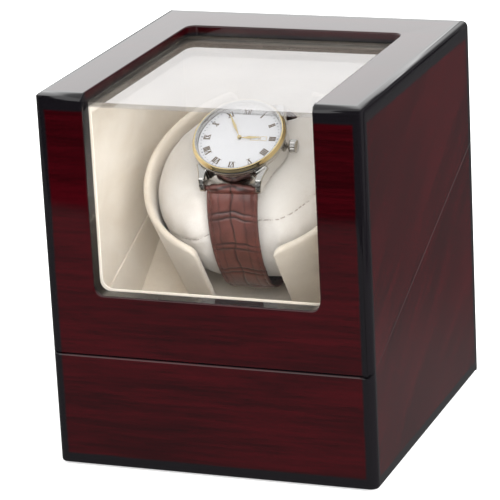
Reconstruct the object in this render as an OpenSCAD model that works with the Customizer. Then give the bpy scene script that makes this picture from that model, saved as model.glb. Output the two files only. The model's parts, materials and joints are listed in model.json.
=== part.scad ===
// Single watch winder: a lacquered wooden box cut on a slant into base and lid,
// with a motor-driven cup that turns a cushion and its watch on a tilted axis.
// Millimetres. +Z is up, -Y is the front, the origin is under the middle of the footprint.

/* [Box] */
// Width across the sides
box_w = 140; // [125:1:220]
// Depth from the front face to the back face
box_d = 146; // [142:1:220]
// Height from the table to the lid's top
box_h = 161; // [156:1:240]
// Radius of the lacquered front and top edges
edge_r = 3.5; // [1:0.5:6]
// Radius of the back edges
back_edge_r = 1; // [0.5:0.5:3]
// Thickness of the wooden side, front and back walls
wall_t = 7.5; // [6.5:0.5:10]
// Thickness of the lid's wooden top
top_t = 5; // [4:0.5:8]
// Height of the parting line at the front face
split_front = 49.5; // [44:0.5:58]
// Height of the parting line at the back face
split_back = 107.5; // [104:0.5:118]
// Gap between lid and base
lid_gap = 0.5; // [0.3:0.1:1]
// Thickness of the bottom panel
panel_t = 4; // [3:0.5:6]
// Width of the ledge that the bottom panel seats on
panel_lap = 3; // [2:0.5:4]
// How far the feet hold the box off the table
foot_proud = 1; // [0.5:0.5:4]
// Diameter of a foot
foot_d = 12; // [8:1:18]
// How deep a foot is let into the bottom panel
foot_let = 1; // [0.5:0.5:2]

/* [Window] */
// Width of the window in the lid's front and top
window_w = 98; // [80:1:110]
// Height of the window's sill above the table
window_sill = 76; // [70:1:90]
// Distance from the window's rear edge to the back face
window_rear = 27; // [20:1:40]
// Corner radius of the window
window_r = 4.5; // [2:0.5:10]
// Thickness of the acrylic panes
pane_t = 2; // [1.5:0.1:2.4]
// How far the panes lap behind the wood
pane_lap = 4; // [2:0.5:6]

/* [Lining] */
// Thickness of the velvet-covered lining on the walls
lining_t = 2.9; // [2.6:0.1:4]
// Thickness of the lining under the lid's top
lining_top_t = 5.4; // [3:0.1:6.5]
// Clearance around parts that are let into the lining
let_in = 0.1; // [0.05:0.05:0.2]

/* [Deck] */
// Slope of the deck, which is also the tilt of the cup's axis
deck_tilt = 34; // [31:0.5:36]
// Height of the deck's surface where it meets the front wall
deck_front = 8; // [7.8:0.1:12]
// Thickness of the deck
deck_t = 4; // [3:0.5:4]
// Distance from the front face to where the cup's axis meets the deck
axis_from_front = 93.7; // [91:0.1:97]
// Side of the square cleats under the deck
cleat = 6; // [4:0.5:6]
// Side of the fixing blocks for the bottom panel
block = 12; // [9:1:14]
// Height of the fixing blocks
block_h = 10; // [8:0.5:10]
// Distance from the front and back walls to the fixing blocks
block_from_wall = 30; // [30:1:34]

/* [Cup] */
// How far the rim's bead lies below the watch's case back
rim_below = 12; // [10:1:25]
// Radius to the middle of the wall at the rim
cup_rim_r = 46.2; // [44.6:0.1:47.5]
// Radius to the middle of the wall at the foot
cup_foot_r = 43; // [42.6:0.1:45]
// Thickness of the cup's wall
cup_t = 3.2; // [2:0.1:3.2]
// Thickness of the cup's floor
cup_floor_t = 2.5; // [2:0.1:4]
// Gap between the cup's skirt and the deck
cup_gap = 2; // [1:0.5:3]
// Width of the two strap notches
notch_w = 33; // [30:1:40]
// Height of the notches' floor above the deck
notch_floor = 10; // [9:0.5:16]
// Radius of the notches' corners
notch_r = 5; // [2:0.5:8]
// How far the cup has stopped from square
cup_turn = 4; // [0:1:10]

/* [Cushion] */
// Width of the cushion across the strap
cushion_w = 87; // [78:1:87]
// Length of the cushion along the strap
cushion_l = 74; // [72:1:74]
// How far below the watch's case back the cushion's lobes are widest
lobe_below = 20; // [16:1:26]
// Width of the waist that the strap lies in
waist_w = 24; // [24:0.5:28]
// Depth of the waist below the strap
waist_low = 5.9; // [5.8:0.1:7]

/* [Watch] */
// How far the watch is turned on its cushion
watch_turn = 1.5; // [0:0.5:5]
// How far the watch sits off the cushion's middle
watch_aside = -0.8; // [-0.9:0.1:0.9]
// Diameter of the bezel
bezel_d = 40.2; // [38:0.2:42]
// Gap between the bezel as it turns and the lid's top pane
head_room = 8.885; // [5:0.005:8.885]
// Thickness of the middle case
case_t = 7.5; // [6.5:0.1:8]
// Height of the bezel
bezel_t = 3.2; // [2.5:0.1:4]
// Width of the bezel's ring
bezel_wide = 2.4; // [1.5:0.1:3]
// Thickness of the crystal
crystal_t = 1.4; // [1:0.1:2]
// Thickness of the dial
dial_t = 0.5; // [0.3:0.1:0.8]
// Distance between the lugs
lug_w = 22; // [18:0.5:22]
// Width of a lug
lug_t = 2.6; // [2:0.1:3.5]
// Distance from the watch's centre to a spring bar
lug_reach = 21.8; // [21.5:0.1:23]
// Width of the strap
strap_w = 21.5; // [17:0.5:21.5]
// Thickness of the strap
strap_t = 2.6; // [2:0.1:3]
// Half the length of the strap's loop, from front to back
loop_half = 37.6; // [37.5:0.1:39]
// Height of the strap's loop above its widest place
loop_rise = 41; // [40:0.5:42]
// Gap between the bottom of the strap's loop and the cup's floor
loop_foot = 3.2; // [3.2:0.1:5]
// How far the loop's widest place lies below the watch's case back
loop_below = 32; // [30:0.5:32]
// Diameter of the crown
crown_d = 5.6; // [4:0.1:7]
// Length of the crown
crown_l = 3.2; // [2:0.1:4]
// Length of the minute hand
minute_l = 15.4; // [12:0.2:16]
// Length of the hour hand
hour_l = 9.6; // [7:0.2:12]
// Minutes past the hour that the hands show
minutes = 55; // [0:1:59]
// Hour that the hands show
hours = 2; // [0:1:11]

/* [Drive] */
// Module of the gears
gear_mod = 0.8; // [0.7:0.05:0.8]
// Teeth of the output gear on the spindle
output_z = 48; // [44:4:52]
// Teeth of the idler's small gear
idler_small_z = 16; // [14:2:18]
// Teeth of the idler's large gear
idler_large_z = 40; // [36:4:40]
// Teeth of the motor's pinion
pinion_z = 16; // [14:2:16]
// Width of each gear's teeth
gear_t = 5; // [3:0.5:5]
// Gap between moving faces in the drive
run_gap = 1; // [0.5:0.1:1]
// Play at the flanks of the teeth
backlash = 0.12; // [0.05:0.01:0.2]
// Diameter of the spindle
spindle_d = 6; // [4:0.5:7]
// Running clearance of shafts in their bores, on the radius
run_fit = 0.05; // [0.02:0.01:0.09]
// Thickness of the gearbox plate and walls
box_wall = 2; // [1.5:0.5:3]
// Diameter of the motor
motor_d = 24; // [18:1:25]
// Length of the motor
motor_l = 25; // [18:1:26]
// Direction from the idler to the motor
motor_dir = -58; // [-64:1:-50]

/* [Hinges] */
// Distance of each hinge from the middle
hinge_x = 38; // [28:1:44]
// Length of a hinge
hinge_l = 26; // [20:1:30]
// Diameter of the hinge's barrel
barrel_d = 4; // [3:0.2:5]
// Diameter of the hinge's pin
hinge_pin_d = 1.6; // [1.2:0.1:2]
// Thickness of a hinge's leaf
leaf_t = 1; // [0.8:0.1:1.4]
// Width of a hinge's leaf inside the wall
leaf_w = 7; // [6:0.5:7]
// Distance from the back face to the hinge's pin, along the parting plane
pin_out = 2.4; // [2.2:0.1:3]
// Diameter of the catch magnets
magnet_d = 5; // [3:0.5:6]
// Thickness of the catch magnets
magnet_t = 2; // [1:0.5:3]

/* [Controls] */
// Width of the rear control plate
plate_w = 74; // [70:1:84]
// Height of the rear control plate
plate_h = 30; // [28:1:36]
// Thickness of the rear control plate
plate_t = 2; // [1.5:0.5:3]
// Height of the controls above the table
ctrl_z = 28; // [24:1:34]
// Spacing of the inlet, the rocker and the knob
ctrl_pitch = 22; // [20:1:24]
// Bore of the barrel inlet
inlet_bore = 5.7; // [5.5:0.1:6]
// Diameter of the inlet's pin
inlet_pin = 2; // [1.7:0.1:2.5]
// Diameter of the mode knob
knob_d = 14; // [10:0.5:16]
// Height of the mode knob
knob_h = 3; // [2:0.1:3.2]
// Tilt of the rocker to each side
rock_tilt = 9; // [5:1:12]

/* [Hidden] */
$fn = 64;
eps = 0.01;
far = 400;
outside_r = 1;

// the parting plane, and how far the hinge barrels stand behind the box
split_tilt = atan((split_back - split_front) / box_d);
barrel_r = barrel_d / 2;
back_proud = pin_out * cos(split_tilt) + barrel_r;
front_y = -(box_d + back_proud) / 2;
back_y = front_y + box_d;

// the hollow inside the wood, and the room inside the lining
hollow_w = box_w - 2 * wall_t;
hollow_front = front_y + wall_t;
hollow_back = back_y - wall_t;
hollow_top = box_h - top_t;
room_w = hollow_w - 2 * lining_t;
room_front = hollow_front + lining_t;
room_back = hollow_back - lining_t;
room_top = hollow_top - lining_top_t;
panel_top = foot_proud + panel_t;

// the point where the cup's axis meets the deck
axis_y = front_y + axis_from_front;
axis_z = deck_front + (axis_y - hollow_front) * tan(deck_tilt);

back_t = 1;

// the watch stands as high over the deck as its head room lets it turn
case_floor = (hollow_top - pane_t - head_room - axis_z - bezel_d / 2 * sin(deck_tilt)) / cos(deck_tilt)
    - back_t - case_t - bezel_t;
cup_h = case_floor - rim_below;

// heights above the deck
bush_flange_t = 0.6;
thrust_gap = 0.2;
hub_t = 3;
hub_r = 26;
hub_screw_at = 18;
hub_floor = bush_flange_t + thrust_gap;
hub_top = hub_floor + hub_t;
cup_floor = hub_top + cup_floor_t;
cup_bead_r = cup_t / 2;
spindle_r = spindle_d / 2;
spindle_bore = spindle_r + run_fit;

// depths below the deck
plate_under = deck_t + box_wall;
out_gear_top = plate_under + 3;
out_gear_end = out_gear_top + gear_t;
big_gear_top = out_gear_end + run_gap;
big_gear_end = big_gear_top + gear_t;
gearbox_end = big_gear_end + run_gap + box_wall;
bush_r = spindle_r + 2;
bush_flange_r = bush_r + 2;
low_bush_l = 4;
bush_end_t = 0.8;
low_flange_t = bush_flange_t + thrust_gap + bush_end_t;

// gears
output_r = gear_mod * output_z / 2;
idler_small_r = gear_mod * idler_small_z / 2;
idler_large_r = gear_mod * idler_large_z / 2;
pinion_r = gear_mod * pinion_z / 2;
pressure = 20;
idler_x = -(output_r + idler_small_r);
motor_reach = idler_large_r + pinion_r;
motor_x = idler_x + motor_reach * cos(motor_dir);
motor_y = motor_reach * sin(motor_dir);
idler_pin_r = 1.5;
idler_collar_r = 3;
motor_shaft_r = 1;
motor_boss_r = 3;
motor_boss_h = 1.5;
motor_cap_h = 1.2;
shaft_in = 5.8;
motor_screw_x = 8;
gear_room = 1.5;
case_left = idler_x - idler_large_r - gear_mod - gear_room - box_wall;
case_right = output_r + gear_mod + gear_room + box_wall;
case_low = motor_y - pinion_r - gear_mod - gear_room - box_wall;
case_high = output_r + gear_mod + gear_room + box_wall;
flange = 6;

// screws
small_shank_r = 0.8;
small_head_r = 1.6;
screw_shank_r = 1.25;
screw_head_r = 2.6;
screw_head_t = 1.5;
plate_head_r = 1.5;
board_shank_r = 0.9;
board_head_r = 1.8;
board_head_t = 1.2;
motor_shank_r = 0.9;
motor_head_r = 1.5;
motor_head_t = 0.8;
screw_play = 0.1;
screw_pass = 0.2;
plate_screw_l = 4;
leaf_screw_l = 5;

// watch
bezel_r = bezel_d / 2;
case_r = bezel_r - 0.4;
case_top = case_floor + back_t + case_t;
bezel_top = case_top + bezel_t;
glass_r = bezel_r - bezel_wide;
dial_top = case_top + dial_t;
hand_gap = 0.35;
hand_t = 0.2;
hour_w = 1.5;
hour_boss_r = 1.1;
minute_w = 1.3;
minute_boss_r = 0.95;
hour_z = dial_top + hand_gap;
minute_z = hour_z + hand_t + hand_gap;
bar_r = 0.75;
arbor_r = 0.35;
pipe_r = 0.65;
bar_z = case_floor + 2.2;
minute_angle = 90 - minutes * 6;
hour_angle = 90 - (hours + minutes / 60) * 30;
crown_z = case_floor + back_t + case_t / 2;
crown_x = case_r + 1.2;
stem_r = 0.6;
stem_tube_r = 1.2;
strap_gap = 0.3;
lug_lift = 6;

// cushion
cushion_floor = cup_floor + strap_gap;
cushion_top = case_floor - strap_gap;
lobe_mid = case_floor - lobe_below;
lobe_flat = 10;
loop_mid = case_floor - loop_below;
loop_drop = loop_mid - cup_floor - loop_foot;

// controls
inlet_x = -ctrl_pitch;
knob_x = ctrl_pitch;
inlet_body_r = 4;
inlet_flange_r = 5.4;
inlet_depth = 9.5;
rocker_w = 15;
rocker_h = 10.5;
rocker_body_w = 13.3;
rocker_body_h = 8.8;
rocker_depth = 9;
rocker_bezel_t = 1.5;
rocker_r = 5.2;
rocker_slot_w = 11.2;
rocker_slot_h = 7;
rocker_blade_h = 6.6;
rocker_axis_in = 0.5;
rocker_pin_r = 0.8;
knob_shaft_r = 3;
knob_shaft_l = 4.5;
knob_stand = 0.3;
tab_l = 3;
inlet_tab_x = 2;
rocker_tab_x = 3;
motor_tab_x = 4;
motor_tab_l = 1.4;
switch_side = 14;
switch_t = 7;
ledge = 4;

// control board
board_w = 44;
board_l = 42;
board_t = 1.6;
board_room = 2.5;
board_x = hollow_w / 2 - block - board_room - board_w;
board_y = front_y + 62;
standoff_h = 5;
standoff_r = 2.5;
board_z = panel_top + standoff_h;
board_hole_in = 3.5;

// ---------------------------------------------------------------- places

// frame on the deck: origin where the axis meets it, +Z along the axis, +Y up the slope
module on_deck() {
    translate([0, axis_y, axis_z])
        rotate([deck_tilt, 0, 0])
            children();
}

// the same frame, turned with the cup
module on_cup() {
    on_deck()
        rotate([0, 0, cup_turn])
            children();
}

// the same frame, turned with the cushion
module on_cushion() {
    on_deck()
        rotate([0, 0, watch_turn])
            children();
}

// the watch's own frame on the cushion
module on_watch() {
    on_cushion()
        translate([watch_aside, 0, 0])
            children();
}

// frame on the parting plane: origin at its back edge, +Z square to it, +Y to the back
module on_split() {
    translate([0, back_y, split_back])
        rotate([split_tilt, 0, 0])
            children();
}

// frame on the back face at the controls: +Z out of the box, +Y down
module on_rear() {
    translate([0, back_y, ctrl_z])
        rotate([-90, 0, 0])
            children();
}

module at_hinges() {
    for (side = [-1, 1])
        translate([side * hinge_x, 0, 0])
            children();
}

// ---------------------------------------------------------------- outlines

// the square corner outside a fillet of radius r, at the origin, opening to +X +Y
module corner_waste(r) {
    difference() {
        translate([-1, -1])
            square(r + 1);
        translate([r, r])
            circle(r);
    }
}

// a rectangle from [x0, y0] to [x1, y1] with its own radius at each corner:
// r = [low left, low right, high right, high left]
module rounded_rect(x0, y0, x1, y1, r) {
    difference() {
        translate([x0, y0])
            square([x1 - x0, y1 - y0]);
        translate([x0, y0])
            corner_waste(r[0]);
        translate([x1, y0])
            mirror([1, 0])
                corner_waste(r[1]);
        translate([x1, y1])
            rotate(180)
                corner_waste(r[2]);
        translate([x0, y1])
            mirror([0, 1])
                corner_waste(r[3]);
    }
}

// a block centred in X and Y
module plank(w, l, z0, z1) {
    translate([-w / 2, -l / 2, z0])
        cube([w, l, z1 - z0]);
}

// the whole box before it is parted
module outer_block() {
    intersection() {
        translate([0, 0, foot_proud])
            linear_extrude(box_h)
                rounded_rect(-box_w / 2, front_y, box_w / 2, back_y,
                    [edge_r, edge_r, back_edge_r, back_edge_r]);
        translate([0, far / 2, 0])
            rotate([90, 0, 0])
                linear_extrude(far)
                    rounded_rect(-box_w / 2, -far, box_w / 2, box_h,
                        [outside_r, outside_r, edge_r, edge_r]);
        translate([-far / 2, 0, 0])
            rotate([90, 0, 90])
                linear_extrude(far)
                    rounded_rect(front_y, -far, back_y, box_h,
                        [outside_r, outside_r, back_edge_r, edge_r]);
    }
}

module hollow(z0, z1) {
    translate([-hollow_w / 2, hollow_front, z0])
        cube([hollow_w, hollow_back - hollow_front, z1 - z0]);
}

module room(z0, z1) {
    translate([-room_w / 2, room_front, z0])
        cube([room_w, room_back - room_front, z1 - z0]);
}

module above_split() {
    on_split()
        plank(far, 2 * far, lid_gap / 2, far);
}

module below_split() {
    on_split()
        plank(far, 2 * far, -far, -lid_gap / 2);
}

module above_deck() {
    on_deck()
        plank(far, 2 * far, 0, far);
}

// the window's opening, which runs from the lid's front over to its top
module window_cut() {
    half = window_w / 2;
    depth = wall_t + lining_t + 1;
    translate([0, front_y + depth, 0])
        rotate([90, 0, 0])
            linear_extrude(depth + 1)
                rounded_rect(-half, window_sill, half, box_h + 5,
                    [window_r, window_r, outside_r, outside_r]);
    translate([0, 0, room_top - 1])
        linear_extrude(far)
            rounded_rect(-half, front_y - 5, half, back_y - window_rear,
                [outside_r, outside_r, window_r, window_r]);
}

// both panes, grown by g
module pane_blocks(g) {
    half = window_w / 2 + pane_lap + g;
    translate([-half, hollow_front - g, window_sill - pane_lap - g])
        cube([2 * half, pane_t + 2 * g, hollow_top - pane_t - window_sill + pane_lap + 2 * g]);
    translate([-half, hollow_front - g, hollow_top - pane_t - g])
        cube([2 * half, back_y - window_rear + pane_lap - hollow_front + 2 * g, pane_t + 2 * g]);
}

// ---------------------------------------------------------------- fasteners

// countersunk screw pointing down -Z with its flat head at z = 0
module sunk_screw(shank, head, length) {
    translate([0, 0, -length])
        cylinder(r = shank, h = length);
    translate([0, 0, -(head - shank)])
        cylinder(r1 = shank, r2 = head, h = head - shank);
}

// pan-head screw pointing down -Z, its head standing on z = 0
module pan_screw(shank, head, head_h, length) {
    difference() {
        union() {
            translate([0, 0, -length])
                cylinder(r = shank, h = length + eps);
            cylinder(r = head, h = head_h);
        }
        for (turn = [0, 90])
            rotate([0, 0, turn])
                translate([-head * 0.6, -head * 0.13, head_h * 0.5])
                    cube([head * 1.2, head * 0.26, head_h]);
    }
}

// the cross in a flat head
module cross_slot(head) {
    for (turn = [0, 90])
        rotate([0, 0, turn])
            translate([-head * 0.6, -head * 0.13, -head * 0.3])
                cube([head * 1.2, head * 0.26, head]);
}

// ---------------------------------------------------------------- casing

module bottom_screw_places() {
    for (side = [-1, 1])
        for (y = [hollow_front + block_from_wall + block / 2, hollow_back - block_from_wall - block / 2])
            translate([side * (hollow_w / 2 - block / 2), y, 0])
                children();
}

module foot_places() {
    inset = foot_d / 2 + 9;
    for (x = [-box_w / 2 + inset, box_w / 2 - inset])
        for (y = [front_y + inset, back_y - inset])
            translate([x, y, 0])
                children();
}

module control_cutout() {
    on_rear()
        translate([0, 0, -wall_t - 1])
            linear_extrude(far)
                rounded_rect(-plate_w / 2 + ledge, -plate_h / 2 + ledge,
                    plate_w / 2 - ledge, plate_h / 2 - ledge, [2, 2, 2, 2]);
}

module rear_plate_blank(g, t) {
    on_rear()
        translate([0, 0, -plate_t])
            linear_extrude(t)
                rounded_rect(-plate_w / 2 - g, -plate_h / 2 - g,
                    plate_w / 2 + g, plate_h / 2 + g, [3, 3, 3, 3]);
}

module rear_screw_places() {
    for (x = [-1, 1])
        on_rear()
            translate([x * (plate_w / 2 - ledge / 2), 0, 0])
                children();
}

module leaf_screw_places() {
    at_hinges()
        for (x = [-1, 1])
            translate([x * hinge_l / 3, -leaf_w * 0.62, 0])
                children();
}

module base_shell() {
    color([0.27, 0.05, 0.06])
        difference() {
            intersection() {
                outer_block();
                below_split();
            }
            hollow(panel_top - eps, box_h);
            translate([-hollow_w / 2 - panel_lap, hollow_front - panel_lap, 0])
                cube([hollow_w + 2 * panel_lap, hollow_back - hollow_front + 2 * panel_lap, panel_top]);
            control_cutout();
            rear_plate_blank(let_in, far);
            rear_screw_places()
                sunk_screw(small_shank_r, plate_head_r, plate_t + plate_screw_l + screw_pass);
            on_split() {
                at_hinges()
                    hinge_pocket(-1);
                leaf_screw_places()
                    translate([0, 0, -lid_gap / 2])
                        sunk_screw(small_shank_r, small_head_r, leaf_screw_l + screw_pass);
                magnet_place()
                    translate([0, 0, -lid_gap / 2 - magnet_t])
                        cylinder(d = magnet_d, h = magnet_t + 1);
            }
        }
}

module bottom_panel() {
    w = hollow_w + 2 * panel_lap - 2 * let_in;
    d = hollow_back - hollow_front + 2 * panel_lap - 2 * let_in;
    color([0.1, 0.1, 0.11])
        difference() {
            translate([-w / 2, hollow_front - panel_lap + let_in, foot_proud])
                cube([w, d, panel_t]);
            foot_places()
                translate([0, 0, foot_proud - 1])
                    cylinder(d = foot_d + 2 * let_in, h = foot_let + 1);
            bottom_screw_places()
                translate([0, 0, foot_proud])
                    mirror([0, 0, 1])
                        sunk_screw(screw_shank_r + screw_pass, screw_head_r + screw_pass, far);
        }
}

module bottom_screws() {
    color("silver")
        bottom_screw_places()
            translate([0, 0, foot_proud])
                mirror([0, 0, 1])
                    difference() {
                        sunk_screw(screw_shank_r, screw_head_r, panel_t + block_h - 2);
                        cross_slot(screw_head_r);
                    }
}

module fixing_blocks() {
    color("tan")
        bottom_screw_places()
            difference() {
                plank(block, block, panel_top, panel_top + block_h);
                cylinder(r = screw_shank_r, h = panel_top + block_h - 1);
            }
}

module feet() {
    color([0.06, 0.06, 0.06])
        foot_places()
            cylinder(d = foot_d, h = foot_proud + foot_let);
}

module base_lining() {
    color([0.9, 0.87, 0.8])
        difference() {
            intersection() {
                hollow(0, box_h);
                above_deck();
                below_split();
            }
            room(-1, box_h);
        }
}

module deck_panel() {
    color([0.88, 0.85, 0.78])
        difference() {
            intersection() {
                hollow(panel_top + 0.05, box_h);
                on_deck()
                    plank(far, 2 * far, -deck_t, 0);
            }
            on_deck()
                translate([0, 0, -deck_t - 1])
                    cylinder(r = bush_r, h = deck_t + 2);
            gearbox_screw_places()
                translate([0, 0, -deck_t - 1])
                    cylinder(r = screw_shank_r, h = deck_t);
        }
}

module deck_cleats() {
    color("tan")
        intersection() {
            hollow(panel_top + 0.05, box_h);
            on_deck()
                for (side = [-1, 1])
                    translate([side * (hollow_w - cleat) / 2, 0, 0])
                        plank(cleat, 2 * far, -deck_t - cleat, -deck_t);
        }
}

// ---------------------------------------------------------------- hinges and catch

knuckle_gap = 0.3;
knuckle_l = (hinge_l - 2 * knuckle_gap) / 3;

// side is -1 for the base's leaf and +1 for the lid's
module hinge_plate(side) {
    z0 = side > 0 ? lid_gap / 2 : -lid_gap / 2 - leaf_t;
    reach = pin_out - barrel_r - 0.15;
    translate([-hinge_l / 2, -leaf_w, z0])
        cube([hinge_l, leaf_w + reach, leaf_t]);
}

module hinge_pocket(side) {
    z0 = side > 0 ? lid_gap / 2 - 1 : -lid_gap / 2 - leaf_t;
    translate([-hinge_l / 2, -leaf_w, z0])
        cube([hinge_l, leaf_w + 10, leaf_t + 1]);
}

module knuckle(side) {
    z0 = side > 0 ? lid_gap / 2 : -lid_gap / 2 - leaf_t;
    difference() {
        union() {
            translate([-knuckle_l / 2, pin_out, 0])
                rotate([0, 90, 0])
                    cylinder(r = barrel_r, h = knuckle_l);
            translate([-knuckle_l / 2, pin_out - barrel_r - 0.2, z0])
                cube([knuckle_l, barrel_r + 0.2, leaf_t]);
        }
        translate([-knuckle_l, pin_out, 0])
            rotate([0, 90, 0])
                cylinder(r = hinge_pin_d / 2 + run_fit, h = 2 * knuckle_l);
    }
}

module hinge_leaf(side) {
    places = side > 0 ? [0] : [-1, 1];
    difference() {
        union() {
            hinge_plate(side);
            for (k = places)
                translate([k * (knuckle_l + knuckle_gap), 0, 0])
                    knuckle(side);
        }
        for (x = [-1, 1])
            translate([x * hinge_l / 3, -leaf_w * 0.62, side * lid_gap / 2])
                mirror([0, 0, side > 0 ? 1 : 0])
                    sunk_screw(small_shank_r + screw_play, small_head_r + screw_play, leaf_screw_l);
    }
}

module magnet_place() {
    translate([0, -(box_d - wall_t / 2) / cos(split_tilt), 0])
        children();
}

module hinge_base_leaves() {
    color([0.8, 0.65, 0.3])
        on_split()
            at_hinges()
                hinge_leaf(-1);
}

module hinge_lid_leaves() {
    color([0.8, 0.65, 0.3])
        on_split()
            at_hinges()
                hinge_leaf(1);
}

module hinge_pins() {
    color([0.7, 0.56, 0.25])
        on_split()
            at_hinges()
                translate([-hinge_l / 2 - 0.5, pin_out, 0])
                    rotate([0, 90, 0])
                        cylinder(d = hinge_pin_d, h = hinge_l + 1);
}

module hinge_base_screws() {
    color([0.8, 0.65, 0.3])
        on_split()
            leaf_screw_places()
                translate([0, 0, -lid_gap / 2])
                    difference() {
                        sunk_screw(small_shank_r, small_head_r, leaf_screw_l);
                        cross_slot(small_head_r);
                    }
}

module hinge_lid_screws() {
    color([0.8, 0.65, 0.3])
        on_split()
            leaf_screw_places()
                translate([0, 0, lid_gap / 2])
                    mirror([0, 0, 1])
                        difference() {
                            sunk_screw(small_shank_r, small_head_r, leaf_screw_l);
                            cross_slot(small_head_r);
                        }
}

module base_magnet() {
    color("silver")
        on_split()
            magnet_place()
                translate([0, 0, -lid_gap / 2 - magnet_t])
                    cylinder(d = magnet_d, h = magnet_t);
}

module lid_magnet() {
    color("silver")
        on_split()
            magnet_place()
                translate([0, 0, lid_gap / 2])
                    cylinder(d = magnet_d, h = magnet_t);
}

// ---------------------------------------------------------------- lid

module lid_shell() {
    color([0.27, 0.05, 0.06])
        difference() {
            intersection() {
                outer_block();
                above_split();
            }
            hollow(0, hollow_top);
            window_cut();
            on_split() {
                at_hinges()
                    hinge_pocket(1);
                leaf_screw_places()
                    translate([0, 0, lid_gap / 2])
                        mirror([0, 0, 1])
                            sunk_screw(small_shank_r, small_head_r, leaf_screw_l + screw_pass);
                magnet_place()
                    translate([0, 0, lid_gap / 2 - 1])
                        cylinder(d = magnet_d, h = magnet_t + 1);
            }
        }
}

module lid_lining() {
    color([0.93, 0.9, 0.84])
        difference() {
            intersection() {
                hollow(0, hollow_top);
                above_split();
            }
            room(-1, room_top);
            window_cut();
            pane_blocks(let_in);
        }
}

module front_pane() {
    half = window_w / 2 + pane_lap;
    low = window_sill - pane_lap;
    color([0.85, 0.9, 0.92, 0.3])
        translate([-half, hollow_front, low])
            cube([2 * half, pane_t, hollow_top - pane_t - low]);
}

module top_pane() {
    half = window_w / 2 + pane_lap;
    color([0.85, 0.9, 0.92, 0.3])
        translate([-half, hollow_front, hollow_top - pane_t])
            cube([2 * half, back_y - window_rear + pane_lap - hollow_front, pane_t]);
}

// ---------------------------------------------------------------- rear controls

module rear_plate() {
    color([0.08, 0.08, 0.09])
        difference() {
            rear_plate_blank(0, plate_t);
            on_rear() {
                translate([inlet_x, 0, -far / 2])
                    cylinder(r = inlet_body_r + let_in / 2, h = far);
                plank(rocker_body_w + let_in, rocker_body_h + let_in, -far / 2, far);
                translate([knob_x, 0, -far / 2])
                    cylinder(r = knob_shaft_r + 0.3, h = far);
            }
            rear_screw_places()
                sunk_screw(small_shank_r + screw_play, plate_head_r + screw_play, far);
        }
}

module rear_plate_screws() {
    color("silver")
        rear_screw_places()
            difference() {
                sunk_screw(small_shank_r, plate_head_r, plate_t + plate_screw_l);
                cross_slot(plate_head_r);
            }
}

module dc_inlet() {
    lip = 1.2;
    nut_t = 2;
    color([0.12, 0.12, 0.13])
        on_rear()
            translate([inlet_x, 0, 0]) {
                difference() {
                    union() {
                        cylinder(r = inlet_flange_r, h = lip);
                        translate([0, 0, -inlet_depth])
                            cylinder(r = inlet_body_r, h = inlet_depth + eps);
                        translate([0, 0, -plate_t - nut_t])
                            cylinder(r = inlet_flange_r, h = nut_t, $fn = 6);
                        for (x = [-1, 1])
                            translate([x * inlet_tab_x, 0, -inlet_depth])
                                plank(0.5, 2.4, -tab_l, 0.5);
                    }
                    translate([0, 0, lip - inlet_depth])
                        cylinder(d = inlet_bore, h = inlet_depth);
                }
                translate([0, 0, lip - inlet_depth - eps])
                    cylinder(d = inlet_pin, h = inlet_depth - 1);
            }
}

module rocker_frame() {
    pivot_z = rocker_bezel_t - rocker_axis_in - 1;
    color([0.07, 0.07, 0.08])
        on_rear()
            difference() {
                union() {
                    plank(rocker_w, rocker_h, 0, rocker_bezel_t);
                    plank(rocker_body_w, rocker_body_h, -rocker_depth, eps);
                    for (x = [-1, 1])
                        translate([x * rocker_tab_x, 0, -rocker_depth])
                            plank(0.6, 3, -tab_l, 0.2);
                }
                plank(rocker_slot_w, rocker_slot_h, pivot_z - rocker_r - 0.4, far);
                translate([0, 0, pivot_z])
                    rotate([90, 0, 0])
                        translate([0, 0, -rocker_body_h / 2 + 0.3])
                            cylinder(r = rocker_pin_r + run_fit, h = rocker_body_h - 0.6);
            }
}

module power_rocker() {
    pivot_z = rocker_bezel_t - rocker_axis_in - 1;
    side_x = 4.25;
    color([0.05, 0.05, 0.05])
        on_rear()
            translate([0, 0, pivot_z])
                rotate([90, 0, 0])
                    rotate([0, 0, -rock_tilt]) {
                        translate([0, 0, -rocker_blade_h / 2])
                            linear_extrude(rocker_blade_h)
                                intersection() {
                                    circle(rocker_r);
                                    polygon([
                                        [-side_x, -rocker_r * 0.55],
                                        [side_x, -rocker_r * 0.55],
                                        [side_x, 2.2 + side_x * tan(rock_tilt)],
                                        [0, 2.2],
                                        [-side_x, 2.2 + side_x * tan(rock_tilt)]
                                    ]);
                                }
                        translate([0, 0, -rocker_body_h / 2 + 0.4])
                            cylinder(r = rocker_pin_r, h = rocker_body_h - 0.8);
                    }
}

module mode_switch() {
    color([0.2, 0.3, 0.24])
        on_rear()
            translate([knob_x, 0, 0])
                difference() {
                    union() {
                        plank(switch_side, switch_side, -plate_t - switch_t, -plate_t);
                        for (x = [-4, 0, 4])
                            translate([x, 0, -plate_t - switch_t - 2.5])
                                plank(0.8, 1.6, 0, 3);
                    }
                    translate([0, 0, -plate_t - knob_shaft_l - 0.5])
                        cylinder(r = knob_shaft_r + run_fit, h = far);
                }
}

module mode_knob() {
    color([0.1, 0.1, 0.1])
        on_rear()
            translate([knob_x, 0, 0])
                difference() {
                    union() {
                        translate([0, 0, knob_stand])
                            cylinder(d = knob_d, h = knob_h);
                        translate([0, 0, -plate_t - knob_shaft_l])
                            cylinder(r = knob_shaft_r, h = plate_t + knob_shaft_l + 0.5);
                    }
                    translate([-0.5, -knob_d / 2 - 1, knob_stand + knob_h - 0.6])
                        cube([1, knob_d / 2 - 0.5, 2]);
                }
}

// ---------------------------------------------------------------- control board

module board_corner_places() {
    for (x = [board_x + board_hole_in, board_x + board_w - board_hole_in])
        for (y = [board_y + board_hole_in, board_y + board_l - board_hole_in])
            translate([x, y, 0])
                children();
}

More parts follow.
